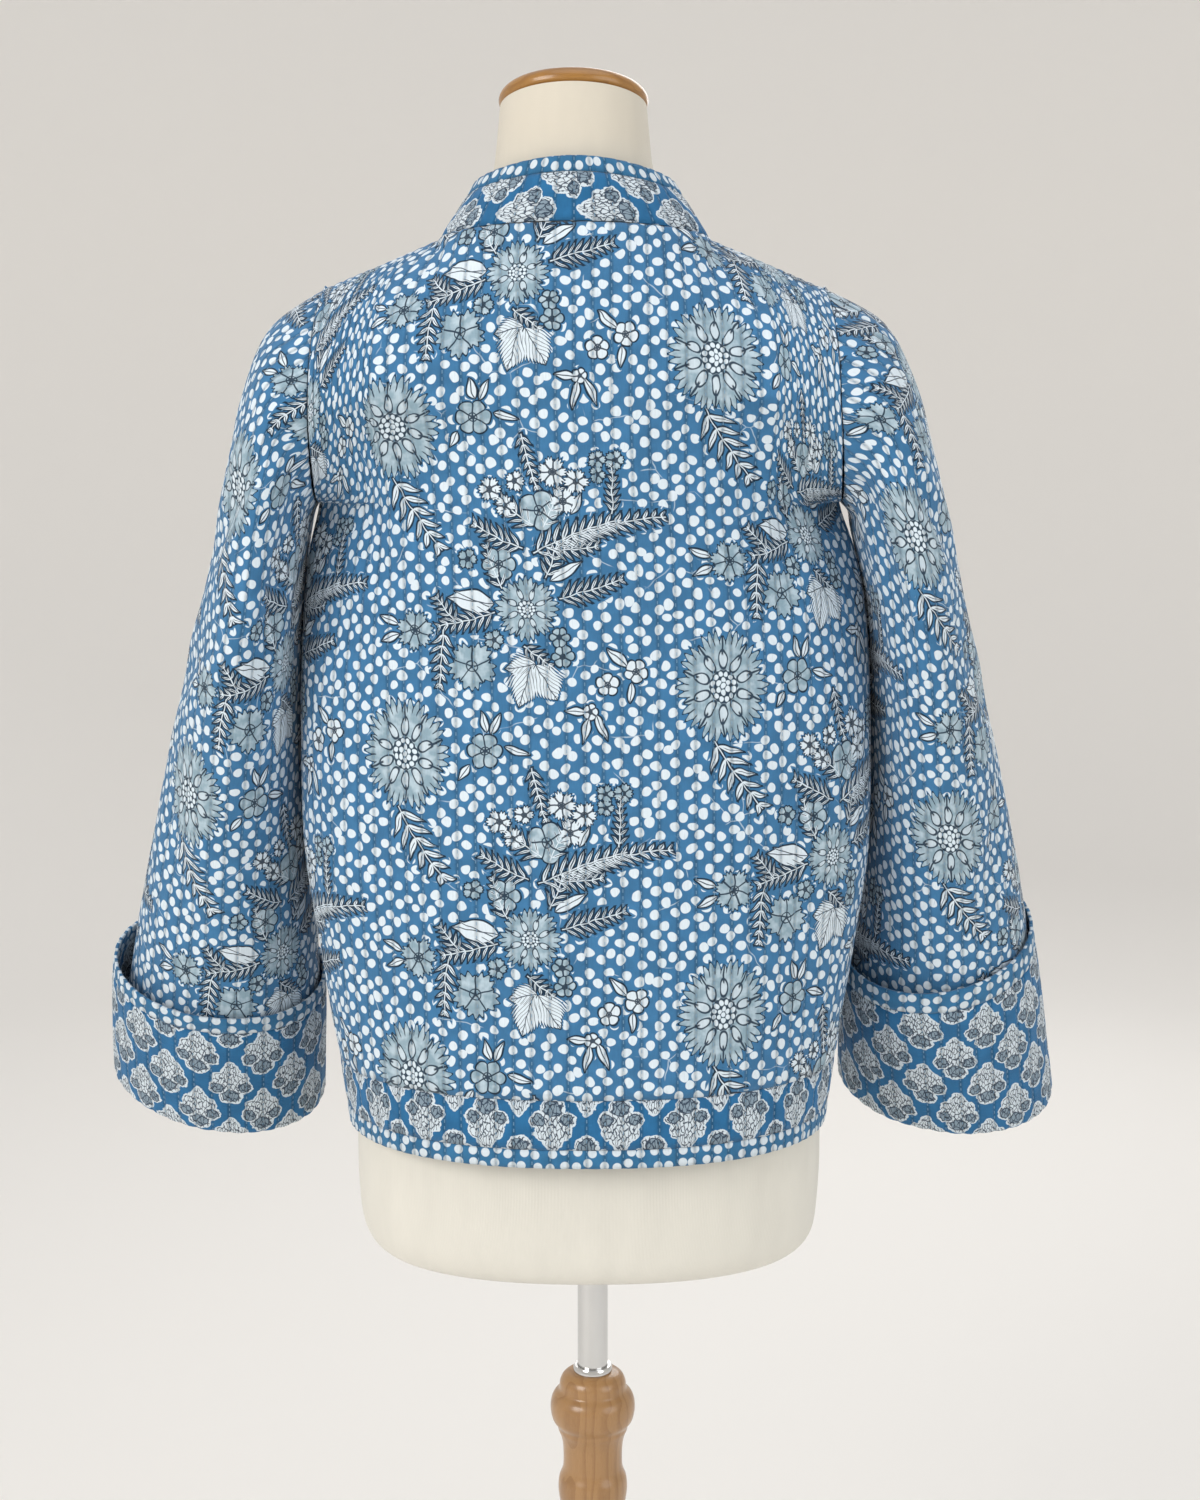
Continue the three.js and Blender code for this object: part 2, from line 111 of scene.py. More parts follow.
def through(rows):
    # a smooth curve through rows whose first number is the place along it
    last = len(rows) - 1
    slopes = []
    for i, row in enumerate(rows):
        before, after = rows[max(i - 1, 0)], rows[min(i + 1, last)]
        span = after[0] - before[0]
        slopes.append([(b - a) / span for a, b in zip(before, after)])
    places = [row[0] for row in rows]
    known = {}

    def at(place):
        if place in known:
            return known[place]
        i = min(max(bisect.bisect_left(places, place) - 1, 0), last - 1)
        span = places[i + 1] - places[i]
        t = (place - places[i]) / span
        known[place] = [hermite(rows[i][c], slopes[i][c] * span, rows[i + 1][c], slopes[i + 1][c] * span, t)
                        for c in range(1, len(rows[0]))]
        return known[place]
    return at


def steps(start, end, count):
    return [mix(start, end, i / count) for i in range(count + 1)]


coatCut = {
    "wall": 2.5, "hem": 714, "hemEdge": 14, "hemBand": 38, "underarm": 1205, "armholeMid": 1285,
    "armholeDepth": 88, "flattenFrom": 1040, "square": 2.3, "centre": -13,
    "neckHalf": 103, "neckSideY": -6, "neckSideZ": 1404, "napeY": -84, "napeZ": 1415.5,
    "tipReach": 191, "tipY": -5, "tipZ": 1367, "neckShare": 103 / 196.7,
    "bandSeam": 62, "bandWidth": 48, "collarLean": 0.66, "bandSplit": 0.76,
    # height, half width, back depth, front depth, centre line
    "body": [(714, 192, -150, 150, -4), (766, 199, -147, 149, -4), (845, 211, -140, 143, -4),
             (930, 223, -131, 137, -4.5), (1030, 224, -122, 132, -5), (1128, 219, -114, 128, -6),
             (1170, 212, -112, 127, -8), (1205, 202.3, -110, 125, -10), (1285, 196.7, -105, 113, -13)],
}
bodyAt = through(coatCut["body"])


def skinPoint(side, face, share, z):
    # share 0 on the centre line and 1 at the side; face -1 is the back
    cut = coatCut
    halfWidth, back, front, centre = bodyAt(z)
    climb = clamp((z - cut["underarm"]) / (cut["armholeMid"] - cut["underarm"]))
    flatten = ease(clamp((z - cut["flattenFrom"]) / (cut["armholeMid"] - cut["flattenFrom"])))
    edgeY = face * cut["armholeDepth"] * math.sqrt(1 - (1 - climb) ** 2) + cut["tipY"] * climb
    beyond = max(0.0, 1 - min(share, 1) ** cut["square"])
    fall = mix(beyond ** (1 / cut["square"]), beyond, flatten)
    pull = share ** mix(7, cut["square"], climb)
    y = (back if face < 0 else front) * fall + edgeY * pull
    return Vector((centre + side * halfWidth * share, y, z))


def sectionPoint(side, face, q, z):
    start = 0 if face < 0 else coatCut["bandSeam"] / bodyAt(z)[0]
    flatten = ease(clamp((z - coatCut["flattenFrom"]) / (coatCut["armholeMid"] - coatCut["flattenFrom"])))
    spread = mix(math.sin(q * math.pi / 2), q, flatten)
    return skinPoint(side, face, mix(start, 1, spread), z)


def necklinePoint(side, angle):
    cut = coatCut
    return Vector((cut["centre"] + side * cut["neckHalf"] * math.sin(angle),
                   mix(cut["neckSideY"], cut["napeY"], math.cos(angle)),
                   mix(cut["neckSideZ"], cut["napeZ"], math.cos(angle))))


def topPoint(side, face, q):
    cut = coatCut
    share = cut["neckShare"]
    if face < 0 and q < share:
        return necklinePoint(side, q / share * math.pi / 2)
    along = (q - share) / (1 - share) if face < 0 else q
    tip = Vector((cut["centre"] + side * cut["tipReach"], cut["tipY"], cut["tipZ"]))
    return necklinePoint(side, math.pi / 2).lerp(tip, along)


def yokePoint(side, face, q, w):
    start, end = sectionPoint(side, face, q, coatCut["armholeMid"]), topPoint(side, face, q)
    rise, run = end.z - start.z, end.y - start.y
    upright = 1 - ease(clamp(q / coatCut["neckShare"])) if face < 0 else 0
    return Vector((hermite(start.x, 0, end.x, end.x - start.x, w),
                   hermite(start.y, 0, end.y, run * mix(1.5, 1, upright), w),
                   hermite(start.z, rise * 1.45, end.z, rise * 0.7 * upright, w)))


def bodyPoint(side, face, q, level):
    # level 0 hem band seam, 1 underarm, 2 middle of the armhole, 3 shoulder seam
    cut = coatCut
    if level > 2:
        return yokePoint(side, face, q, level - 2)
    if level > 1:
        z = mix(cut["armholeMid"], cut["underarm"], math.cos((level - 1) * math.pi / 2))
    else:
        z = mix(cut["hem"] + cut["hemEdge"] + cut["hemBand"], cut["underarm"], level)
    return sectionPoint(side, face, q, z)


def armholePoint(side, angle):
    return bodyPoint(side, 1 if angle < 0 else -1, 1, 3 - 2 * abs(angle) / math.pi)


def bandPoint(side, along, across):
    # along 0 hem, 1 middle of the armhole, 2 side of the neck, 3 nape; across 0 seam, 1 free edge
    cut = coatCut
    reach = across * cut["bandWidth"]
    if along <= 1:
        z = mix(cut["hem"], cut["armholeMid"], along)
        return skinPoint(side, 1, (cut["bandSeam"] - reach) / bodyAt(z)[0], z)
    if along <= 2:
        w = ease(along - 1)
        turn = w * math.atan2(1, cut["collarLean"])
        low, z = bodyAt(cut["armholeMid"])[0], cut["armholeMid"]
        bulge = (skinPoint(side, 1, (cut["bandSeam"] - reach) / low, z).y
                 - skinPoint(side, 1, cut["bandSeam"] / low, z).y)
        return yokePoint(side, 1, 0, along - 1) + Vector(
            (-side * reach * math.cos(turn), bulge * (1 - w), reach * math.sin(turn)))
    angle = (3 - along) * math.pi / 2
    lean = Vector((-side * cut["collarLean"] * math.sin(angle), 0.15 * math.cos(angle), 1)).normalized()
    return necklinePoint(side, angle) + lean * reach


def wholeBand(course, across):
    return bandPoint(-1 if course < 0 else 1, 3 - abs(course), across)


sleeveCut = {
    "cuffTop": {"left": 0.82, "right": 0.785}, "cuffEdgeTop": {"left": 0.797, "right": 0.762}, "seam": 0.3,
    # place along, outer line x z, inner line x z, centre y, half depth, forward tilt
    "left": [(0, -204, 1367, -212, 1205, -5, 88, 0), (0.07, -246, 1339, -216.5, 1196, -4, 92, 1),
             (0.14, -267, 1294, -219.5, 1183, -2, 98, 3), (0.21, -279, 1244, -223, 1163, 1, 105, 5),
             (0.31, -294, 1174, -226.5, 1126, 6, 110, 7), (0.44, -318, 1085, -230.5, 1052, 18, 108, 9),
             (0.58, -344, 985, -230, 958, 36, 99, 12), (0.7, -365, 898, -228, 874, 54, 90, 15),
             (0.79, -379, 837, -228, 812, 67, 82, 18), (1, -403, 727, -231, 696, 97, 74, 21)],
    "right": [(0, 178, 1367, 192, 1205, -5, 88, 0), (0.07, 220, 1343, 200, 1196, -4, 92, 1),
              (0.14, 243, 1308, 203, 1183, -2, 98, 3), (0.21, 258, 1266, 208, 1163, 1, 105, 5),
              (0.31, 276, 1200, 215, 1128, 6, 110, 7), (0.44, 298, 1107, 220.5, 1062, 18, 108, 9),
              (0.58, 323, 1007, 221.3, 968, 36, 99, 12), (0.7, 345, 915, 220, 886, 54, 91, 15),
              (0.79, 361, 835, 216, 819, 67, 84, 18), (1, 387.5, 703, 211, 714, 97, 74, 21)],
    "flare": {"left": (3, 11, 0.5), "right": (3, 11, 2.3)},     # even, on one flank, where
}
sleeveAt = {"left": through(sleeveCut["left"]), "right": through(sleeveCut["right"])}
sideOf = {"left": -1, "right": 1}


def ringPoint(hand, place, angle, out):
    outX, outZ, inX, inZ, y, depth, tilt = sleeveAt[hand](place)
    across = Vector((outX - inX, 0, outZ - inZ))
    half = across.length / 2
    lean = math.radians(tilt)
    return (Vector(((outX + inX) / 2, y, (outZ + inZ) / 2))
            + across.normalized() * ((half + out) * math.cos(angle))
            - Vector((0, math.cos(lean), math.sin(lean))) * ((depth + out) * math.sin(angle)))


def sleevePoint(hand, place, angle, out=0.0):
    # angle 0 on the outer line, positive round the back, half a turn on the inner line
    point = ringPoint(hand, place, angle, out)
    hold = 1 - ease(clamp(place / 0.14))
    if hold > 0:
        signed = angle - fullTurn if angle > math.pi else angle
        point += (armholePoint(sideOf[hand], signed) - ringPoint(hand, 0, angle, 0)) * hold
    point.x += sideOf[hand] * sleeveCut["seam"]
    return point


def cuffPoint(hand, place, angle, out):
    even, flank, towards = sleeveCut["flare"][hand]
    rise = clamp((1 - place) / (1 - sleeveCut["cuffTop"][hand]))
    side = max(0.0, math.cos(angle - towards)) ** 2
    return sleevePoint(hand, place, angle, out + rise * (even + flank * side))


# cloth sheets: a grid is moved on to the cut, puffed between its quilting lines and given a wall

quilt = {"pitch": 13.8, "split": 4, "puff": 1.0, "seamDip": 0.6, "seamReach": 3.5}


def arcTable(pointAt, places):
    # how far along a line of points each place lies
    table, total, last = [], 0.0, None
    for place in places:
        point = pointAt(place)
        if last is not None:
            total += (point - last).length
        last = point
        table.append(total)
    return table


def placeAtArc(table, places, arc):
    i = min(max(bisect.bisect_left(table, arc), 1), len(table) - 1)
    share = (arc - table[i - 1]) / max(table[i] - table[i - 1], 1e-9)
    return mix(places[i - 1], places[i], clamp(share))


def evenCourse(pointAt, places, widths):
    # points along a line, spaced as the nominal widths are, beyond 150 mm fitted to the real edge
    table = arcTable(pointAt, places)
    keep, whole, full = 150, widths[-1], table[-1]
    row = []
    for width in widths:
        arc = width if width <= keep else keep + (width - keep) * (full - keep) / (whole - keep)
        row.append(pointAt(placeAtArc(table, places, arc)))
    return row


def heights(grid):
    # the length of cloth below each point of a grid, along its column
    rows, columns = len(grid), len(grid[0])
    lengths = [[0.0] * columns for _ in range(rows)]
    for j in range(1, rows):
        for i in range(columns):
            lengths[j][i] = lengths[j - 1][i] + (grid[j][i] - grid[j - 1][i]).length
    return lengths


def crease(a, b, depth, width):
    # a soft trough with a low ridge beside it, between two places on the flat cloth
    start, line = Vector(a), Vector(b) - Vector(a)
    size = line.length_squared

    def at(u, v):
        reach = Vector((u, v)) - start
        along = clamp(reach.dot(line) / size)
        away = (reach - line * along).length / width
        taper = math.sin(math.pi * clamp(0.06 + 0.88 * along))
        return depth * taper * (0.45 * math.exp(-((away - 1.7) ** 2)) - math.exp(-away * away))
    return at


def layCloth(name, grid, flat, heart, closed=False, puff=1.0, swell=1.5, creases=(), free=(), seed=0):
    # free names the edges that aren't sewn down: left, right, low, top
    rows, columns = len(grid), len(grid[0])
    cloth = bmesh.new()
    bmesh.ops.create_grid(cloth, x_segments=columns - 1, y_segments=rows - 1, size=1)
    place = {}
    for vertex in cloth.verts:
        place[vertex] = (round((vertex.co.x + 1) / 2 * (columns - 1)),
                         round((vertex.co.y + 1) / 2 * (rows - 1)))
    layer = cloth.loops.layers.uv.new("print")
    for vertex, (i, j) in place.items():
        vertex.co = grid[j][i]
        for loop in vertex.link_loops:
            loop[layer].uv = (flat[j][i][0] * mm, flat[j][i][1] * mm)
    if closed:
        bmesh.ops.remove_doubles(cloth, verts=cloth.verts, dist=0.01)
    if sum(face.normal.dot(face.calc_center_median() - heart(face.calc_center_median()))
           for face in cloth.faces if not face.normal_update()) < 0:
        bmesh.ops.reverse_faces(cloth, faces=cloth.faces)
    cloth.normal_update()
    area = sum(face.calc_area() for face in cloth.faces)
    sewn = [edge for edge in ("left", "right", "low", "top") if edge not in free]
    moves = []
    for vertex in cloth.verts:
        i, j = place[vertex]
        u, v = flat[j][i]
        gaps = {"left": abs(u - flat[j][0][0]), "right": abs(flat[j][-1][0] - u),
                "low": abs(v - flat[0][i][1]), "top": abs(flat[-1][i][1] - v)}
        if closed:
            gaps["left"] = gaps["right"] = 99
        near = min(gaps.values())
        held = ease(clamp(min([gaps[edge] for edge in sewn] + [99]) / quilt["seamReach"]))
        shift = quilt["puff"] * puff * (abs(math.sin(math.pi * u / quilt["pitch"])) ** 0.8 - 0.6)
        shift -= quilt["seamDip"] * (1 - held)
        p = vertex.co
        slow = noise.noise(Vector((p.x * 0.012 + seed, p.y * 0.012, p.z * 0.005)))
        fine = noise.noise(Vector((p.x * 0.045 + seed, p.y * 0.045, p.z * 0.03)))
        calm = ease(clamp(near / 45))
        shift += swell * slow * calm + 0.5 * fine * clamp(near / 10)
        for fold in creases:
            shift += fold(u, v) * ease(clamp(near / 18))
        moves.append((vertex, vertex.normal * shift))
    for vertex, move in moves:
        vertex.co = (vertex.co + move) * mm
    mesh = bpy.data.meshes.new(name)
    cloth.to_mesh(mesh)
    cloth.free()
    mesh.shade_smooth()
    piece = bpy.data.objects.new(name, mesh)
    scene.collection.objects.link(piece)
    wall = piece.modifiers.new("wall", "SOLIDIFY")
    wall.thickness = coatCut["wall"] * mm
    wall.offset = -1
    return piece, area * mm * mm


def declareCloth(piece, node, finish):
    piece.data.materials.append(finish)
    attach(piece, "root")
    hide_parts(node)


def torsoHeart(point):
    return Vector((coatCut["centre"], 0, min(point.z, 1250)))


panelSet = {
    "halfColumns": 84, "upTo": 3 - 0.0018, "from": 0.0004,
    "backCreases": [((-205, 470), (-120, 330), 2.6, 16), ((205, 480), (130, 330), 2.6, 16),
                    ((-60, 620), (-40, 380), 1.4, 24), ((75, 560), (60, 250), 1.6, 26),
                    ((-150, 330), (-165, 60), 2.2, 26), ((150, 300), (175, 40), 2.2, 26),
                    ((10, 330), (-5, 40), 1.4, 30)],
    "frontCreases": [((205, 480), (120, 330), 2.6, 16), ((150, 330), (165, 60), 2.4, 26),
                     ((90, 560), (80, 260), 1.8, 26)],
}
columnWidth = quilt["pitch"] / quilt["split"]
fine = steps(0, 1, 48)


def levelRows():
    return (steps(panelSet["from"], 1, 62) + steps(1, 2, 12)[1:] + steps(2, panelSet["upTo"], 26)[1:])


def makeBack():
    widths = [columnWidth * i for i in range(panelSet["halfColumns"] + 1)]
    grid = []
    for level in levelRows():
        right = evenCourse(lambda q: bodyPoint(1, -1, q, level), fine, widths)
        left = evenCourse(lambda q: bodyPoint(-1, -1, q, level), fine, widths)
        grid.append(left[::-1] + right[1:])
    lengths = heights(grid)
    us = [-w for w in widths[::-1]] + widths[1:]
    flat = [[(u, lengths[j][i]) for i, u in enumerate(us)] for j in range(len(grid))]
    creases = [crease(*set_) for set_ in panelSet["backCreases"]]
    piece, area = layCloth("coatBackCloth", grid, flat, torsoHeart, creases=creases)
    declareCloth(piece, "coat_back", printedCotton)


def makeFront(hand):
    side = sideOf[hand]
    widths = [columnWidth * i for i in range(panelSet["halfColumns"] - 19)]
    start = 0.001
    grid = []
    for level in levelRows():
        # from the side seam towards the band, so the lines stay parallel to the side
        course = evenCourse(lambda q: bodyPoint(side, 1, mix(start, 1, q), level), fine, widths)
        grid.append(course)
    lengths = heights(grid)
    edge = 62
    flat = [[(side * -(w + edge) + (700 if side > 0 else -700), lengths[j][i]) for i, w in enumerate(widths)]
            for j in range(len(grid))]
    creases = [crease((flat[0][0][0] - side * (a[0] - edge), a[1]),
                      (flat[0][0][0] - side * (b[0] - edge), b[1]), d, w)
               for a, b, d, w in panelSet["frontCreases"]]
    piece, area = layCloth(f"coatFrontCloth_{hand}", grid, flat, torsoHeart, creases=creases, seed=9)
    declareCloth(piece, f"coat_front_{hand}",
                 printedCotton)


def makeHem():
    cut = coatCut
    seamZ = cut["hem"] + cut["hemEdge"]
    quarter = 86
    widths = [columnWidth * i for i in range(quarter + 1)]
    frontWidths = [columnWidth * i for i in range(quarter - 20)]

    def course(z):
        back = [evenCourse(lambda q: sectionPoint(side, -1, q, z), fine, widths) for side in (-1, 1)]
        front = [evenCourse(lambda q: sectionPoint(side, 1, 1 - mix(0, 0.999, q), z), fine, frontWidths)
                 for side in (-1, 1)]
        return front[0][::-1] + back[0][::-1][1:] + back[1][1:] + front[1][1:]
    count = len(course(seamZ))
    us = [columnWidth * (i - (count - 1) / 2) for i in range(count)]
    for name, node, slotName, finish, zs, free in (
            ("hemBandCloth", "hem_band", "contrast_cotton", contrastCotton,
             steps(seamZ + 0.15, seamZ + cut["hemBand"] - 0.15, 6), ()),
            ("hemEdgeCloth", "hem_edge", "dotted_cotton", dottedCotton,
             steps(cut["hem"], seamZ - 0.15, 4), ("low",))):
        grid = [course(z) for z in zs]
        lengths = heights(grid)
        flat = [[(us[i], lengths[j][i] + (0 if node == "hem_band" else 300)) for i in range(count)]
                for j in range(len(grid))]
        piece, area = layCloth(name, grid, flat, torsoHeart, free=free, puff=0.8, swell=0)
        declareCloth(piece, node, finish)


def makeCollar():
    cut = coatCut
    places = steps(-3, 3, 720)
    middle = arcTable(lambda c: wholeBand(c, 0.4), places)
    count = round(middle[-1] / columnWidth / 2) * 2
    courses = [placeAtArc(middle, places, middle[-1] * i / count) for i in range(count + 1)]
    us = [middle[-1] * (i / count - 0.5) for i in range(count + 1)]
    split = cut["bandSplit"]
    for name, node, slotName, finish, shares, free in (
            ("collarBandCloth", "collar_band", "contrast_cotton", collarCotton,
             steps(0.012, split - 0.003, 7), ("left", "right")),
            ("collarEdgeCloth", "collar_edge", "dotted_cotton", dottedCotton,
             steps(split + 0.003, 1, 4), ("left", "right", "top"))):
        grid = [[wholeBand(c, share) for c in courses] for share in shares]
        base = 0 if node == "collar_band" else 60
        flat = [[(u, share * cut["bandWidth"] + base) for u in us] for share in shares]
        piece, area = layCloth(name, grid, flat, collarHeart, free=free, puff=0.7, swell=0)
        declareCloth(piece, node, finish)


def collarHeart(point):
    return Vector((coatCut["centre"], 0, min(point.z, 1440)))


sleeveSet = {
    "lines": 38, "rows": 92, "endsAt": 0.985,
    "creases": [((150, 610), (60, 470), 4.6, 14), ((190, 560), (150, 380), 3.4, 16),
                ((-150, 600), (-70, 470), 4.2, 14), ((-190, 560), (-150, 380), 3.4, 16),
                ((90, 420), (20, 340), 3.2, 17), ((60, 300), (110, 170), 3.4, 19),
                ((-60, 320), (-110, 180), 3.4, 19), ((10, 560), (30, 420), 2.6, 20)],
}


def sleeveCourse(pointAt, lines):
    # a ring of points from the inner line round to it again, even by length on each half
    half = lines * quilt["split"] // 2
    row = []
    for sign in (-1, 1):
        places = steps(0, math.pi, 60)
        table = arcTable(lambda angle: pointAt(sign * angle), places)
        arcs = [table[-1] * i / half for i in range(half + 1)]
        row.append([pointAt(sign * placeAtArc(table, places, arc)) for arc in arcs])
    return row[0][::-1] + row[1][1:]


def sleeveHeart(hand):
    def at(point):
        rows = sleeveCut[hand]
        best = min(rows, key=lambda row: abs((row[2] + row[4]) / 2 - point.z))
        return Vector(((best[1] + best[3]) / 2, best[5], point.z))
    return at


def makeSleeve(hand):
    side, lines = sideOf[hand], sleeveSet["lines"]
    places = steps(sleeveSet["endsAt"], 0, sleeveSet["rows"])
    grid = [sleeveCourse(lambda a: sleevePoint(hand, place, a), lines) for place in places]
    count = len(grid[0])
    for row in grid:
        row[-1] = row[0].copy()
    lengths = heights(grid)
    us = [columnWidth * (i - (count - 1) / 2) for i in range(count)]
    shiftU = 1200 * side
    flat = [[(u * side * -1 + shiftU, lengths[j][i]) for i, u in enumerate(us)] for j in range(len(grid))]
    creases = [crease((a[0] * side * -1 + shiftU, a[1]), (b[0] * side * -1 + shiftU, b[1]), d, w)
               for a, b, d, w in sleeveSet["creases"]]
    piece, area = layCloth(f"sleeveCloth_{hand}", grid, flat, sleeveHeart(hand), closed=True,
                           creases=creases, free=("low",), swell=2.2, seed=3 + side)
    declareCloth(piece, f"sleeve_{hand}", printedCotton)


cuffSet = {"fold": 5, "tuck": 12}


def makeCuff(hand):
    cut, side, lines = sleeveCut, sideOf[hand], sleeveSet["lines"]
    lift = cut["seam"] + coatCut["wall"]
    inner = -(coatCut["wall"] + cut["seam"]) - coatCut["wall"]
    middle, radius = (lift + inner) / 2, (lift - inner) / 2
    slant = 1 / 720      # a millimetre as a share of the sleeve's length

    def outside(place):
        return sleeveCourse(lambda a: cuffPoint(hand, place, a, lift), lines)
    grid = [sleeveCourse(lambda a: sleevePoint(hand, 1 - slant * tuck, a, inner), lines)
            for tuck in (cuffSet["tuck"], cuffSet["tuck"] / 2)]
    for turn in steps(0, math.pi, cuffSet["fold"])[:-1]:
        out, down = middle - radius * math.cos(turn), radius * math.sin(turn)
        grid.append(sleeveCourse(lambda a: sleevePoint(hand, 1 + slant * (down - radius), a, out), lines))
    grid += [outside(place) for place in steps(1 - slant * radius, cut["cuffTop"][hand], 22)]
    for row in grid:
        row[-1] = row[0].copy()
    count = len(grid[0])
    us = [columnWidth * (i - (count - 1) / 2) for i in range(count)]
    lengths = heights(grid)
    flat = [[(u * side * -1, -lengths[j][i]) for i, u in enumerate(us)] for j in range(len(grid))]
    piece, area = layCloth(f"cuffCloth_{hand}", grid, flat, sleeveHeart(hand), closed=True, puff=0.8,
                           free=("low",), swell=1.2, seed=21)
    declareCloth(piece, f"cuff_{hand}",
                 contrastCotton)
    grid = [sleeveCourse(lambda a: cuffPoint(hand, place, a, lift), lines)
            for place in steps(cut["cuffTop"][hand] - 0.0006, cut["cuffEdgeTop"][hand], 5)]
    for row in grid:
        row[-1] = row[0].copy()
    lengths = heights(grid)
    flat = [[(u * side * -1, lengths[j][i]) for i, u in enumerate(us)] for j in range(len(grid))]
    piece, area = layCloth(f"cuffEdgeCloth_{hand}", grid, flat, sleeveHeart(hand), closed=True, puff=0.7,
                           free=("top",), swell=0, seed=21)
    declareCloth(piece, f"cuff_edge_{hand}",
                 dottedCotton)


# dress form and stand

formSet = {
    "foot": 603, "bore": 12.8, "poleTop": 671, "neckTilt": 16, "round": 96,
    # height, half width, back, front, centre line, sharpness, share of the neck's tilt
    "rows": [(603, 158, -98, 98, -2, 2.3, 0), (606, 170, -110, 110, -2, 2.3, 0),
             (617, 180, -119, 119, -2, 2.3, 0), (638, 185, -123, 123, -3, 2.3, 0),
             (690, 187, -125, 125, -3, 2.3, 0), (760, 182, -121, 123, -3, 2.3, 0),
             (850, 153, -107, 112, -4, 2.3, 0), (930, 130, -95, 100, -5, 2.2, 0),
             (1010, 136, -96, 104, -6, 2.2, 0), (1090, 150, -99, 113, -8, 2.2, 0),
             (1160, 160, -100, 116, -9, 2.2, 0), (1230, 170, -98, 104, -11, 2.1, 0),
             (1290, 180, -94, 88, -12, 2, 0), (1330, 183, -86, 72, -13, 1.75, 0),
             (1350, 176, -80, 62, -13, 1.6, 0), (1366, 155, -76, 56, -13, 1.5, 0),
             (1380, 124, -74, 52, -13, 1.5, 0), (1392, 98, -73, 50, -13, 1.7, 0),
             (1405, 80, -72, 49, -13, 1.9, 0), (1425, 68, -70, 49, -13, 2, 0.2),
             (1455, 60.5, -67, 50, -14, 2, 0.6), (1480, 57.5, -64, 49, -14, 2, 1),
             (1501, 55.5, -61, 49, -14, 2, 1)],
}


def placeHard(name, mesh, node, finish, sharp=None):
    data = bpy.data.meshes.new(name)
    mesh.to_mesh(data)
    mesh.free()
    data.shade_smooth()
    piece = bpy.data.objects.new(name, data)
    scene.collection.objects.link(piece)
    if sharp:
        data.set_sharp_from_angle(angle=math.radians(sharp))
    data.materials.append(finish)
    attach(piece, "root")
    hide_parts(node)
    print(name, "made")
    return piece


def makeForm():
    rows = formSet["rows"]
    at = through([(i, *row) for i, row in enumerate(rows)])
    turns = steps(0, fullTurn, formSet["round"])

    def ring(place):
        z, half, back, front, centre, sharp, tilt = at(place)
        middle, depth, power = (back + front) / 2, (front - back) / 2, 2 / sharp
        points = []
        for turn in turns:
            c, s = math.cos(turn), math.sin(turn)
            y = middle + depth * math.copysign(abs(s) ** power, s)
            points.append(Vector((centre + half * math.copysign(abs(c) ** power, c), y,
                                  z - (y - middle) * math.tan(math.radians(formSet["neckTilt"])) * tilt)))
        return points

    def disc(radius, z):
        return [Vector((radius * math.cos(turn), radius * math.sin(turn), z)) for turn in turns]
    low = ring(0)
    grid = [disc(0, formSet["poleTop"] + 0.3), disc(formSet["bore"], formSet["poleTop"] + 0.3),
            disc(formSet["bore"], formSet["foot"])]
    foot = disc(formSet["bore"], formSet["foot"])
    grid += [[a.lerp(b, share) for a, b in zip(foot, low)] for share in (0.3, 0.6, 0.9)]
    grid += [ring(place) for place in steps(0, 4, 20)]
    grid += [ring(place) for place in steps(4, len(rows) - 1, 90)[1:]]
    top = grid[-1]
    middle = sum(top[:-1], Vector()) / (len(top) - 1)
    grid += [[point.lerp(middle, share) for point in top] for share in (0.5, 1)]
    form = bmesh.new()
    bmesh.ops.create_grid(form, x_segments=len(turns) - 1, y_segments=len(grid) - 1, size=1)
    for vertex in form.verts:
        i = round((vertex.co.x + 1) / 2 * (len(turns) - 1))
        j = round((vertex.co.y + 1) / 2 * (len(grid) - 1))
        vertex.co = grid[j][i] * mm
    bmesh.ops.remove_doubles(form, verts=form.verts, dist=0.00001)
    bmesh.ops.recalc_face_normals(form, faces=form.faces)
    placeHard("formTorso", form, "form_torso", jersey, 60)


turnedSet = {
    "cap": [(0, 0), (53, 0), (56, 2.5), (56.5, 6), (54.5, 10), (49, 13.5), (34, 17.5), (16, 19.5), (0, 20)],
    "capAt": (-14, -6, 1501.3),
    "pole": [(0, 330.3), (12.5, 330.3), (12.5, 671), (0, 671)],
    "ring": [(12.8, 487.3), (16, 487.3), (16, 490.8), (15, 492.3), (12.8, 492.3)],
    "post": [(0, 118), (24, 118), (30, 124), (30, 212), (27, 220), (23, 226), (21, 240), (21.5, 262),
             (24, 290), (26, 315), (26, 332), (23.5, 344), (23, 352), (24.5, 362), (27.5, 374), (28.7, 384),
             (28, 393), (25.8, 399), (24.6, 404), (24.4, 414), (25, 424), (26.6, 431), (28.6, 436),
             (29.6, 440), (33.2, 445.5), (35, 454), (34.4, 462), (32, 467.5), (28.4, 471), (27.6, 474),
             (27, 478.5), (24.8, 483), (21, 486), (16, 487)],
    "bore": [(12.8, 487), (12.8, 330), (0, 330)],
}


def spun(profile, count=72):
    # a profile of radius and height turned about the pole's axis
    shape = bmesh.new()
    points = [shape.verts.new((radius * mm, 0, height * mm)) for radius, height in profile]
    edges = [shape.edges.new(pair) for pair in zip(points, points[1:])]
    bmesh.ops.spin(shape, geom=points + edges, cent=(0, 0, 0), axis=(0, 0, 1), angle=fullTurn, steps=count,
                   use_merge=True)
    bmesh.ops.remove_doubles(shape, verts=shape.verts, dist=0.00001)
    bmesh.ops.recalc_face_normals(shape, faces=shape.faces)
    return shape


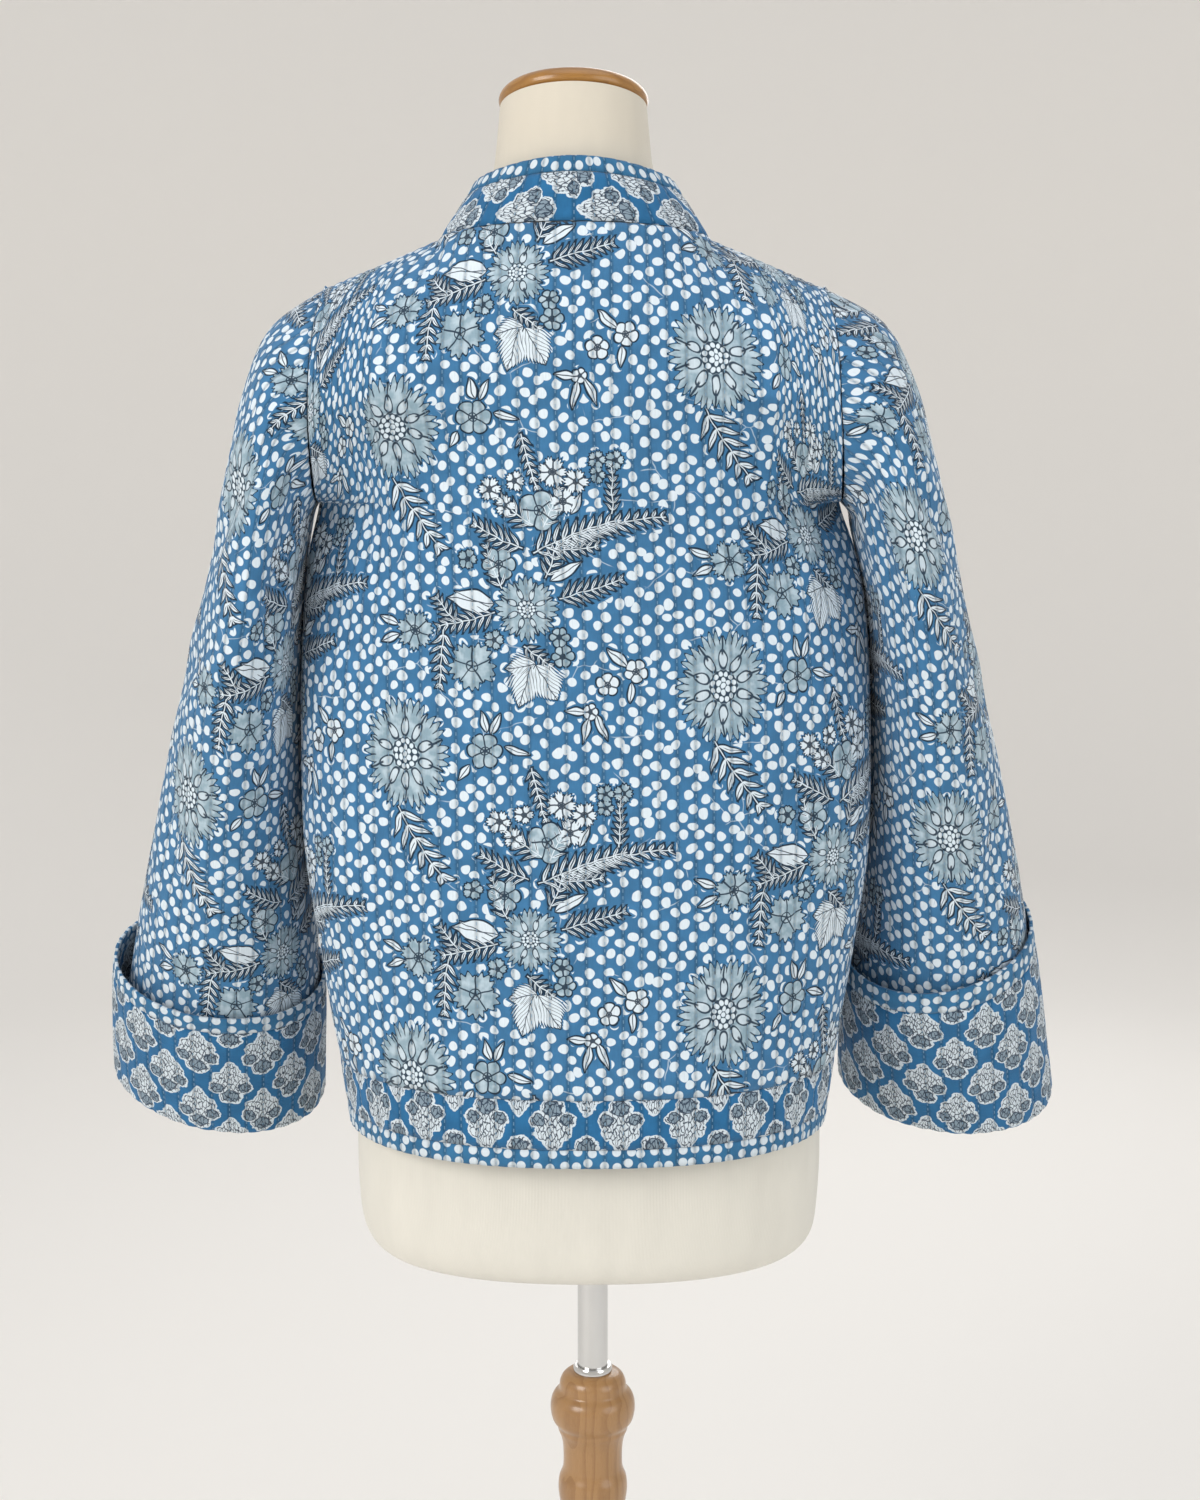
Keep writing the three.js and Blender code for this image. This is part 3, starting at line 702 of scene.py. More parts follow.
def smoothed(profile, share=6):
    # the same profile with its bends rounded through its own points
    at = through([(i, *point) for i, point in enumerate(profile)])
    return [tuple(at(place)) for place in steps(0, len(profile) - 1, (len(profile) - 1) * share)]


def makeTurned():
    cap = turnedSet["cap"]
    shape = spun(cap[:2] + smoothed(cap[2:-1]) + cap[-1:], 96)
    tilt = Matrix.Rotation(math.radians(-formSet["neckTilt"]), 4, "X")
    bmesh.ops.transform(shape, matrix=Matrix.Translation(Vector(turnedSet["capAt"]) * mm) @ tilt,
                        verts=shape.verts)
    placeHard("neckCapWood", shape, "neck_cap", honeyWood, 50)
    placeHard("poleTube", spun(turnedSet["pole"]), "pole", chrome, 40)
    placeHard("poleRing", spun(turnedSet["ring"] + turnedSet["ring"][:1]), "pole_ring", chrome, 40)
    post = turnedSet["post"]
    shape = spun(post[:4] + smoothed(post[4:-1], 4) + post[-1:] + turnedSet["bore"], 96)
    placeHard("postWood", shape, "post", mapleWood, 50)


legSet = {"root": 30.3, "thickness": 22, "round": 3.0, "turns": (0, 120, 240)}


def bezier(a, b, c, d, count=14):
    a, b, c, d = (Vector(point) for point in (a, b, c, d))
    return [a * (1 - t) ** 3 + b * 3 * t * (1 - t) ** 2 + c * 3 * t * t * (1 - t) + d * t ** 3
            for t in steps(0, 1, count)]


def makeLegs():
    root = legSet["root"]
    outline = bezier((root, 205), (85, 200), (120, 165), (148, 118))
    outline += bezier((148, 118), (172, 78), (195, 40), (232, 26))[1:]
    outline += bezier((232, 26), (241.3, 23.3), (246, 18), (246, 10), 6)[1:]
    outline += [Vector((246, 0)), Vector((206, 0))]
    outline += bezier((206, 0), (176, 20), (150, 60), (128, 92))[1:]
    outline += bezier((128, 92), (104, 124), (76, 136), (root, 138))[1:]
    half = legSet["thickness"] / 2
    for index, turn in enumerate(legSet["turns"]):
        leg = bmesh.new()
        side = leg.faces.new([leg.verts.new((p.x * mm, -half * mm, p.y * mm)) for p in outline])
        pushed = bmesh.ops.extrude_face_region(leg, geom=[side])
        moved = [item for item in pushed["geom"] if isinstance(item, bmesh.types.BMVert)]
        bmesh.ops.translate(leg, vec=(0, 2 * half * mm, 0), verts=moved)
        bmesh.ops.recalc_face_normals(leg, faces=leg.faces)
        long = [edge for edge in leg.edges
                if abs(edge.verts[0].co.y - edge.verts[1].co.y) < 1e-6
                and max(vertex.co.z for vertex in edge.verts) > 0.5 * mm
                and min(vertex.co.x for vertex in edge.verts) > (root + 0.1) * mm]
        bmesh.ops.bevel(leg, geom=long, offset=legSet["round"] * mm, offset_type="OFFSET", affect="EDGES",
                        segments=3, profile=0.5, material=-1, clamp_overlap=True)
        bmesh.ops.rotate(leg, cent=(0, 0, 0), matrix=Matrix.Rotation(math.radians(turn), 3, "Z"),
                         verts=leg.verts)
        placeHard(f"legWood_{index + 1}", leg, f"leg_{index + 1}", mapleWood, 40)


# shader wiring

def feed(tree, sockets, values):
    for socket, value in zip(sockets, values):
        if isinstance(value, bpy.types.NodeSocket):
            tree.links.new(value, socket)
        elif value is not None:
            socket.default_value = value


def calc(tree, operation, *values):
    node = tree.nodes.new("ShaderNodeMath")
    node.operation = operation
    feed(tree, node.inputs, values)
    return node.outputs[0]


def shift(tree, operation, *values):
    node = tree.nodes.new("ShaderNodeVectorMath")
    node.operation = operation
    feed(tree, node.inputs, values)
    return node.outputs[0]


def smooth(tree, value, low, high):
    node = tree.nodes.new("ShaderNodeMapRange")
    node.interpolation_type = "SMOOTHSTEP"
    feed(tree, node.inputs, (value, low, high))
    return node.outputs[0]


def fade(tree, value, low, high):
    return calc(tree, "SUBTRACT", 1.0, smooth(tree, value, low, high))


def blendColour(tree, share, a, b):
    node = tree.nodes.new("ShaderNodeMix")
    node.data_type = "RGBA"
    colours = [value if isinstance(value, bpy.types.NodeSocket) else (*value, 1) for value in (a, b)]
    feed(tree, (node.inputs[0], node.inputs[6], node.inputs[7]), (share, *colours))
    return node.outputs[2]


def along(tree, vector, axis):
    node = tree.nodes.new("ShaderNodeVectorMath")
    node.operation = "DOT_PRODUCT"
    feed(tree, node.inputs, (vector, axis))
    return node.outputs["Value"]


def split(tree, vector, turn=0.0):
    # x and y in axes turned by an angle
    cosine, sine = math.cos(turn), math.sin(turn)
    return along(tree, vector, (cosine, sine, 0)), along(tree, vector, (-sine, cosine, 0))


def join(tree, x, y, z=0.0):
    node = tree.nodes.new("ShaderNodeCombineXYZ")
    feed(tree, node.inputs, (x, y, z))
    return node.outputs[0]


def most(tree, values):
    result = values[0]
    for value in values[1:]:
        result = calc(tree, "MAXIMUM", result, value)
    return result


def noiseOn(tree, vector, scale, detail=2.0, rough=0.5):
    node = tree.nodes.new("ShaderNodeTexNoise")
    feed(tree, (node.inputs["Vector"], node.inputs["Scale"], node.inputs["Detail"], node.inputs["Roughness"]),
         (vector, scale, detail, rough))
    return node.outputs[0]


def newGroup(name, inputs, outputs):
    tree = bpy.data.node_groups.new(name, "ShaderNodeTree")
    for label, kind in inputs:
        tree.interface.new_socket(label, in_out="INPUT", socket_type="NodeSocket" + kind)
    for label, kind in outputs:
        tree.interface.new_socket(label, in_out="OUTPUT", socket_type="NodeSocket" + kind)
    start = tree.nodes.new("NodeGroupInput")
    end = tree.nodes.new("NodeGroupOutput")
    return tree, start.outputs, end


def useGroup(tree, group, *values):
    node = tree.nodes.new("ShaderNodeGroup")
    node.node_tree = group
    feed(tree, node.inputs, values)
    return node.outputs


def makeOnTile():
    # brings a point into the repeat that is centred on a place; each column of repeats steps up
    tree, given, end = newGroup("onTile", [("Point", "Vector"), ("Centre", "Vector")], [("Point", "Vector")])
    x, y = split(tree, shift(tree, "SUBTRACT", given["Point"], given["Centre"]))
    width, height = printSet["repeat"]
    column = calc(tree, "ROUND", calc(tree, "DIVIDE", x, width))
    x = calc(tree, "MULTIPLY_ADD", column, -width, x)
    y = calc(tree, "MULTIPLY_ADD", column, -printSet["step"], y)
    y = calc(tree, "WRAP", y, height / 2, -height / 2)
    back = shift(tree, "ADD", join(tree, x, y), given["Centre"])
    feed(tree, end.inputs, (back,))
    return tree


def makeGreatFlower():
    # a fringed head with drop shapes in a ring round a heart of small grains; edge is inside, in mm
    tree, given, end = newGroup(
        "greatFlower", [("X", "Float"), ("Y", "Float"), ("Radius", "Float"), ("Petals", "Float")],
        [("Inside", "Float"), ("Line", "Float"), ("Light", "Float")])
    x, y, radius, petals = given[0], given[1], given[2], given[3]
    far = calc(tree, "SQRT", calc(tree, "MULTIPLY_ADD", x, x, calc(tree, "MULTIPLY", y, y)))
    turn = calc(tree, "ARCTAN2", y, x)
    halfTurn = calc(tree, "MULTIPLY", calc(tree, "MULTIPLY", turn, petals), 0.5)
    lobe = calc(tree, "ABSOLUTE", calc(tree, "COSINE", halfTurn))
    finger = calc(tree, "COSINE", calc(tree, "MULTIPLY", halfTurn, 8.0))
    edge = calc(tree, "MULTIPLY_ADD", calc(tree, "POWER", lobe, 0.5), 0.15, 0.79)
    edge = calc(tree, "MULTIPLY_ADD", finger, 0.075, edge)
    inside = calc(tree, "MULTIPLY_ADD", edge, radius, calc(tree, "MULTIPLY", far, -1.0))
    gap = calc(tree, "MULTIPLY", calc(tree, "DIVIDE", lobe, petals), far)
    between = fade(tree, gap, 0.22, 0.46)
    outer = smooth(tree, calc(tree, "DIVIDE", far, radius), 0.55, 0.6)
    petalLine = calc(tree, "MULTIPLY", between, outer)
    ray = calc(tree, "MULTIPLY", fade(tree, finger, -0.95, -0.72),
               smooth(tree, calc(tree, "DIVIDE", far, radius), 0.72, 0.78))
    # drops
    share = calc(tree, "DIVIDE", calc(tree, "MULTIPLY", turn, petals), fullTurn)
    across = calc(tree, "MULTIPLY",
                  calc(tree, "SUBTRACT", calc(tree, "FRACT", calc(tree, "ADD", share, 20.0)), 0.5),
                  calc(tree, "DIVIDE", calc(tree, "MULTIPLY", far, fullTurn), petals))
    wide = calc(tree, "DIVIDE", calc(tree, "DIVIDE", across, radius), 0.085)
    tall = calc(tree, "DIVIDE", calc(tree, "SUBTRACT", calc(tree, "DIVIDE", far, radius), 0.49), 0.165)
    drop = calc(tree, "SQRT", calc(tree, "MULTIPLY_ADD", wide, wide, calc(tree, "MULTIPLY", tall, tall)))
    dropLine = fade(tree, calc(
        tree, "ABSOLUTE", calc(tree, "SUBTRACT", drop, 1.02)), 0.08, 0.24)
    dropLight = calc(tree, "MULTIPLY", fade(tree, drop, 0.8, 0.95), 0.6)
    # grains of the heart
    pitch = calc(tree, "MULTIPLY", radius, 0.115)
    ring = calc(tree, "ROUND", calc(tree, "DIVIDE", far, pitch))
    count = calc(tree, "MAXIMUM", calc(tree, "MULTIPLY", ring, 6.0), 1.0)
    place = calc(tree, "FRACT", calc(tree, "MULTIPLY_ADD", calc(tree, "DIVIDE", turn, fullTurn), count, 20.0))
    beside = calc(tree, "DIVIDE", calc(tree, "MULTIPLY", calc(tree, "SUBTRACT", place, 0.5),
                                       calc(tree, "MULTIPLY", far, fullTurn)), count)
    beside = calc(tree, "MULTIPLY", beside, calc(tree, "MINIMUM", ring, 1.0))
    out = calc(tree, "MULTIPLY_ADD", ring, calc(tree, "MULTIPLY", pitch, -1.0), far)
    away = calc(tree, "SQRT", calc(tree, "MULTIPLY_ADD", beside, beside, calc(tree, "MULTIPLY", out, out)))
    grain = calc(tree, "SUBTRACT", 1.0, calc(tree, "DIVIDE", away, pitch))
    heart = fade(tree, calc(tree, "DIVIDE", far, radius), 0.29, 0.33)
    grainLight = calc(tree, "MULTIPLY", heart, smooth(tree, grain, 0.55, 0.65))
    grainLine = calc(tree, "MULTIPLY", heart, fade(tree, grain, 0.5, 0.6))
    feed(tree, end.inputs, (inside, most(tree, [petalLine, ray, dropLine, grainLine]),
                            calc(tree, "MAXIMUM", dropLight, grainLight)))
    return tree


def makeSmallFlower():
    tree, given, end = newGroup(
        "smallFlower",
        [("X", "Float"), ("Y", "Float"), ("Radius", "Float"), ("Petals", "Float"), ("Fringe", "Float")],
        [("Inside", "Float"), ("Line", "Float")])
    x, y, radius, petals, fringe = (given[i] for i in range(5))
    far = calc(tree, "SQRT", calc(tree, "MULTIPLY_ADD", x, x, calc(tree, "MULTIPLY", y, y)))
    halfTurn = calc(tree, "MULTIPLY", calc(tree, "MULTIPLY", calc(tree, "ARCTAN2", y, x), petals), 0.5)
    lobe = calc(tree, "ABSOLUTE", calc(tree, "COSINE", halfTurn))
    finger = calc(tree, "COSINE", calc(tree, "MULTIPLY", halfTurn, 8.0))
    edge = calc(tree, "MULTIPLY_ADD", calc(tree, "POWER", lobe, 0.45), 0.32, 0.66)
    edge = calc(tree, "MULTIPLY_ADD", finger, fringe, edge)
    inside = calc(tree, "MULTIPLY_ADD", edge, radius, calc(tree, "MULTIPLY", far, -1.0))
    gap = calc(tree, "MULTIPLY", calc(tree, "DIVIDE", lobe, petals), far)
    between = fade(tree, gap, 0.18, 0.4)
    eye = fade(tree, calc(tree, "ABSOLUTE", calc(
        tree, "SUBTRACT", far, calc(tree, "MULTIPLY", radius, 0.24))), 0.3, 0.6)
    feed(tree, end.inputs, (inside, calc(tree, "MAXIMUM", between, eye)))
    return tree


def makeSpray():
    # a bent stem along x with forward-leaning leaflets on both sides
    tree, given, end = newGroup(
        "leafSpray",
        [("X", "Float"), ("Y", "Float"), ("Length", "Float"), ("Reach", "Float"), ("Leaves", "Float"),
                      ("Bend", "Float")], [("Inside", "Float"), ("Line", "Float")])
    x, y, length, reach, leaves, bend = (given[i] for i in range(6))
    share = calc(tree, "DIVIDE", x, length)
    sag = calc(tree, "MULTIPLY", calc(tree, "MULTIPLY", share, share), bend)
    away = calc(tree, "ABSOLUTE", calc(tree, "SUBTRACT", y, sag))
    pitch = calc(tree, "DIVIDE", length, leaves)
    lean = calc(tree, "MULTIPLY_ADD", away, -0.95, x)
    cell = calc(tree, "SUBTRACT",
                calc(tree, "FRACT", calc(tree, "ADD", calc(tree, "DIVIDE", lean, pitch), 40.0)), 0.5)
    offset = calc(tree, "MULTIPLY", calc(tree, "ABSOLUTE", cell), calc(tree, "MULTIPLY", pitch, 0.8))
    root = calc(tree, "DIVIDE", lean, length)
    tip = calc(tree, "MULTIPLY", reach, calc(tree, "MULTIPLY_ADD", calc(tree, "POWER", calc(
        tree, "MAXIMUM", root, 0.0), 1.5), -0.62, 1.0))
    part = calc(tree, "MINIMUM", calc(tree, "DIVIDE", away, tip), 1.0)
    blade = calc(tree, "SINE", calc(tree, "MULTIPLY", calc(tree, "POWER", part, 0.75), math.pi))
    leaf = calc(tree, "SUBTRACT", calc(tree, "MULTIPLY", blade, calc(tree, "MULTIPLY", pitch, 0.235)), offset)
    stem = calc(tree, "SUBTRACT", 0.75, away)
    leaf = calc(tree, "MINIMUM", leaf, calc(tree, "SUBTRACT", tip, away))
    field = calc(tree, "MAXIMUM", leaf, stem)
    limit = calc(tree, "MINIMUM", x, calc(tree, "SUBTRACT", length, x))
    rootLimit = calc(tree, "MULTIPLY", calc(tree, "MINIMUM", root, calc(tree, "SUBTRACT", 0.97, root)), 60.0)
    field = calc(tree, "MINIMUM", field, calc(tree, "MAXIMUM", calc(tree, "MINIMUM", limit, stem), rootLimit))
    vein = fade(tree, offset, 0.2, 0.42)
    vein = calc(tree, "MULTIPLY", vein, smooth(tree, part, 0.15, 0.3))
    feed(tree, end.inputs, (field, vein))
    return tree


def makeLeaf():
    tree, given, end = newGroup(
        "singleLeaf",
        [("X", "Float"), ("Y", "Float"), ("Length", "Float"), ("Width", "Float"), ("Teeth", "Float")],
        [("Inside", "Float"), ("Line", "Float")])
    x, y, length, width, teeth = (given[i] for i in range(5))
    share = calc(tree, "MINIMUM", calc(tree, "MAXIMUM", calc(tree, "DIVIDE", x, length), 0.0), 1.0)
    away = calc(tree, "ABSOLUTE", y)
    wide = calc(tree, "SINE", calc(tree, "MULTIPLY", calc(tree, "POWER", share, 0.8), math.pi))
    saw = calc(tree, "FRACT", calc(tree, "MULTIPLY", calc(tree, "MULTIPLY_ADD", away, -0.06, share), 6.0))
    half = calc(tree, "MULTIPLY", wide,
                calc(tree, "MULTIPLY", width, calc(tree, "MULTIPLY_ADD", saw, teeth, 0.5)))
    past = calc(tree, "MULTIPLY",
                calc(tree, "ABSOLUTE", calc(tree, "SUBTRACT", x, calc(tree, "MULTIPLY", share, length))), -1.0)
    field = calc(tree, "ADD", calc(tree, "SUBTRACT", half, away), past)
    vein = fade(tree, away, 0.25, 0.5)
    ribs = fade(tree, saw, 0.05, 0.25)
    ribs = calc(tree, "MULTIPLY", ribs, smooth(tree, teeth, 0.0, 0.05))
    feed(tree, end.inputs, (field, calc(tree, "MAXIMUM", vein, ribs)))
    return tree


# the all-over print: places in mm from the middle of the repeat, turns in degrees
printSet = {
    "repeat": (241, 247), "step": 52, "shift": (57, -33),
    "upperCentre": (12, 94), "lowerCentre": (4, -49),
    "blue": (0.042, 0.158, 0.315), "deepBlue": (0.008, 0.027, 0.055), "white": (0.72, 0.81, 0.88),
    "grey": (0.49, 0.61, 0.69), "greyShade": (0.27, 0.39, 0.47),
    "dot": 3.65, "dotPitch": 10.7, "dotTurn": 40, "dotJitter": 0.42, "dotSway": 3.4,
    "outline": (-1.0, 0.35), "halo": 2.7, "sway": 2.6, "crackScale": 0.021,
    # place, radius, petals, upper or lower window
    "great": [((-80, -22), 35, 10, 0), ((15, 89), 23.5, 8, 1)],
    # place, radius, petals, fringe, turn, white or grey, window
    "small": [((-27, 46), 17.5, 5, 0.09, 54, 0, 1), ((-72, 71), 14.5, 7, 0.08, 10, 0, 1),
              ((-18, -17), 13.5, 6, 0, 0, 0, 0), ((-4, 122), 12.5, 6, 0, 0, 0, 1),
              ((28, -85), 15.5, 5, 0, 0, 0, 0), ((-10, 66), 7.5, 5, 0.06, 0, 0, 1),
              ((39, 68), 7.5, 6, 0, 0, 0, 1), ((41, 54), 8.3, 6, 0, 0, 0, 1),
              ((74, 33), 8.8, 5, 0, 20, 1, 1), ((95, 43), 9.2, 5, 0, 60, 1, 1),
              ((-28, 125), 7.5, 5, 0.05, 0, 0, 1), ((61, 13), 6, 5, 0, 0, 1, 1),
              ((-8, -70), 8.5, 6, 0.1, 0, 1, 0), ((3, -82), 7.5, 5, 0.1, 0, 1, 0),
              ((11, -64), 7, 5, 0.1, 0, 1, 0), ((39, -57), 10.5, 7, 0.1, 0, 1, 0),
              ((56, -64), 9, 6, 0.1, 0, 1, 0), ((46, -78), 9.5, 6, 0.1, 0, 1, 0),
              ((72, -48), 6.5, 5, 0.08, 0, 0, 0), ((85, -48), 7, 5, 0.08, 0, 0, 0),
              ((72, -59), 6, 5, 0.08, 0, 0, 0)],
    # root, turn, length, reach, leaflets, bend, window
    "spray": [((-87, -62), -62, 66, 15, 6, 9, 0), ((39, 97), 14, 50, 10, 9, 2, 1),
              ((22, 131), 27, 70, 13, 10, -9, 1), ((36, 133), -3, 34, 9, 6, 5, 1),
              ((14, 134), 161, 40, 10, 7, -6, 1), ((-9, 86), 200, 46, 10, 8, -4, 1),
              ((-48, 72), -100, 44, 9, 6, 4, 1), ((17, -29), -79, 42, 6.5, 7, 3, 0),
              ((41, -109), 24, 82, 11.5, 12, -16, 0), ((82, -88), 88, 38, 6, 7, 0, 0),
              ((-38, 77), 130, 26, 8, 5, 0, 1), ((30, 112), 62, 30, 9, 5, 4, 1),
              ((-2, 104), 118, 34, 8, 6, -5, 1), ((12, 62), -38, 26, 7, 5, 0, 1),
              ((24, -96), 150, 36, 10, 6, -5, 0), ((30, -98), 60, 34, 9, 6, 3, 0)],
    # root, turn, length, width, teeth, window
    "leaf": [((-9, 92), 172, 36, 17, 0, 1), ((-12, 90), 158, 30, 8, 0, 1), ((20, 48), 190, 22, 12, 0.35, 1),
             ((17, 47), -106, 32, 16, 0.35, 1), ((21, 47), -58, 30, 17, 0.35, 1),
             ((-16, -3), 105, 16, 6, 0, 0), ((-13, -4), 63, 17, 6, 0, 0), ((-3, -14), -15, 20, 6, 0, 0),
             ((88, 47), 137, 19, 7, 0, 1), ((92, 34), -94, 15, 6, 0, 1), ((58, 13), 178, 16, 6, 0, 1),
             ((60, 9), -103, 21, 6, 0, 1), ((65, 11), -66, 22, 6, 0, 1), ((34, 110), 31, 28, 9, 0, 1),
             ((-86, 75), 160, 18, 6, 0, 1), ((-85, 68), 205, 17, 6, 0, 1), ((-30, -28), -125, 14, 6, 0, 0),
             ((52, -88), 62, 18, 6, 0, 0)],
}


def makeFloralPrint():
    # colours of the all-over block print, from the flat cloth in mm
    tree, given, end = newGroup("floralPrint", [("Point", "Vector")], [("Colour", "Color"), ("Ink", "Float")])
    sway = [calc(tree, "SUBTRACT", noiseOn(tree, shift(tree, "ADD", given["Point"], away), 0.11, 0.0), 0.5)
            for away in ((0, 0, 0), (0, 0, 60))]
    point = shift(tree, "ADD", given["Point"],
                  join(tree, *(calc(tree, "MULTIPLY", part, printSet["sway"]) for part in sway)))
    windows = [useGroup(tree, onTile, point, (*printSet[key], 0))[0] for key in ("lowerCentre", "upperCentre")]
    fields = {"white": -9.0, "grey": -9.0, "line": 0.0, "light": 0.0}

    def lay(key, value, within=None, start=0.0):
        # keeps the largest so far, which a deep chain of motifs needs to stay light
        if within is not None:
            value = calc(tree, "MULTIPLY", value, smooth(tree, within, start, start + 0.3))
        fields[key] = calc(tree, "MAXIMUM", fields[key], value)

    def setAt(place, turn, window):
        return split(tree, shift(tree, "SUBTRACT", windows[window], (*place, 0)), math.radians(turn))
    for place, radius, petals, window in printSet["great"]:
        x, y = setAt(place, 0, window)
        if radius > 30:
            y = calc(tree, "MULTIPLY", y, 0.84)
        head = useGroup(tree, greatFlower, x, y, float(radius), float(petals))
        lay("grey", head["Inside"])
        lay("line", head["Line"], head["Inside"])
        lay("light", head["Light"], head["Inside"])
    for place, radius, petals, fringe, turn, pale, window in printSet["small"]:
        head = useGroup(tree, smallFlower, *setAt(place, turn, window), float(radius), float(petals),
                        float(fringe))
        lay("white" if pale else "grey", head["Inside"])
        lay("line", head["Line"], head["Inside"])
    for place, turn, length, reach, leaves, bend, window in printSet["spray"]:
        frond = useGroup(tree, leafSpray, *setAt(place, turn, window), float(length), float(reach),
                         float(leaves),
                         float(bend))
        lay("white", frond["Inside"])
        lay("line", frond["Line"], frond["Inside"], 0.3)
    for place, turn, length, width, teeth, window in printSet["leaf"]:
        blade = useGroup(tree, singleLeaf, *setAt(place, turn, window), float(length), float(width),
                         float(teeth))
        lay("white", blade["Inside"])
        lay("line", blade["Line"], blade["Inside"], 0.3)
    whiteField, greyField, lines, lights = (fields[key] for key in ("white", "grey", "line", "light"))
    field = calc(tree, "MAXIMUM", whiteField, greyField)
    # resist dots on the ground, kept off the motifs
    warped = shift(tree, "ADD", given["Point"],
                   join(tree, *(calc(tree, "MULTIPLY", part, printSet["dotSway"]) for part in sway)))
    warped = join(tree, *split(tree, warped, math.radians(printSet["dotTurn"])))
    dots = tree.nodes.new("ShaderNodeTexVoronoi")
    dots.voronoi_dimensions = "2D"
    feed(tree, (dots.inputs["Vector"], dots.inputs["Scale"], dots.inputs["Randomness"]),
         (warped, 1 / printSet["dotPitch"], printSet["dotJitter"]))
    away = calc(tree, "MULTIPLY", dots.outputs["Distance"], printSet["dotPitch"])
    uneven = noiseOn(tree, given["Point"], 0.09, 1.0)
    size = calc(tree, "MULTIPLY_ADD", uneven, 1.9, printSet["dot"] - 0.95)
    dot = smooth(tree, calc(tree, "SUBTRACT", size, away), -0.25, 0.25)
    dot = calc(tree, "MULTIPLY", dot, fade(tree, field, -printSet["halo"], -printSet["halo"] + 0.7))
    # faint cracks in the resist
    crack = tree.nodes.new("ShaderNodeTexVoronoi")
    crack.voronoi_dimensions = "2D"
    crack.feature = "DISTANCE_TO_EDGE"
    feed(tree, (crack.inputs["Vector"], crack.inputs["Scale"]), (warped, printSet["crackScale"]))
    crackLine = fade(tree, crack.outputs["Distance"], 0.004, 0.012)
    crackLine = calc(tree, "MULTIPLY", crackLine, smooth(tree, noiseOn(tree, given["Point"], 0.03), 0.52, 0.6))
    mottle = noiseOn(tree, given["Point"], 0.05, 3.0)
    ground = blendColour(tree, smooth(tree, mottle, 0.3, 0.75), printSet["blue"],
                         tuple(c * 1.28 for c in printSet["blue"]))
    ground = blendColour(tree, calc(tree, "MULTIPLY", crackLine, 0.5), ground, printSet["white"])
    ground = blendColour(tree, dot, ground, printSet["white"])
    low, high = printSet["outline"]
    outline = calc(tree, "MULTIPLY", smooth(tree, field, low - 0.2, low + 0.2), smooth(tree, noiseOn(
        tree, given["Point"], 0.2), 0.22, 0.4))
    inked = blendColour(tree, outline, ground, printSet["deepBlue"])
    shade = noiseOn(tree, given["Point"], 0.12, 2.0)
    greyTone = blendColour(tree, smooth(tree, shade, 0.35, 0.7), printSet["greyShade"], printSet["grey"])
    inked = blendColour(tree, smooth(tree, greyField, high - 0.2, high + 0.2), inked, greyTone)
    inked = blendColour(tree, smooth(tree, whiteField, high - 0.2, high + 0.2), inked, printSet["white"])
    inked = blendColour(tree, lights, inked, printSet["white"])
    inked = blendColour(tree, calc(tree, "MULTIPLY", lines, 0.95), inked, printSet["deepBlue"])
    feed(tree, end.inputs, (inked, dot))
    return tree


# the contrast print: one sprig in half-drop rows, in mm
sprigSet = {
    "pitch": (51, 58), "blue": (0.018, 0.125, 0.28), "white": (0.66, 0.74, 0.80), "grey": (0.24, 0.32, 0.39),
    "deepBlue": (0.02, 0.04, 0.075),
    # centre, radii
    "bush": [((0, -1), (9.5, 17)), ((-8, -5), (5.5, 6)), ((8, -5), (5.5, 6)), ((0, -15), (4, 6)),
             ((-10.5, 4), (6, 6)), ((10.5, 4), (6, 6)), ((0, 13), (8.5, 7.5))],
    "roses": [((0, 13), (6.4, 5.6)), ((-10.5, 4.5), (4.6, 4.6)), ((10.5, 4.5), (4.6, 4.6))],
}


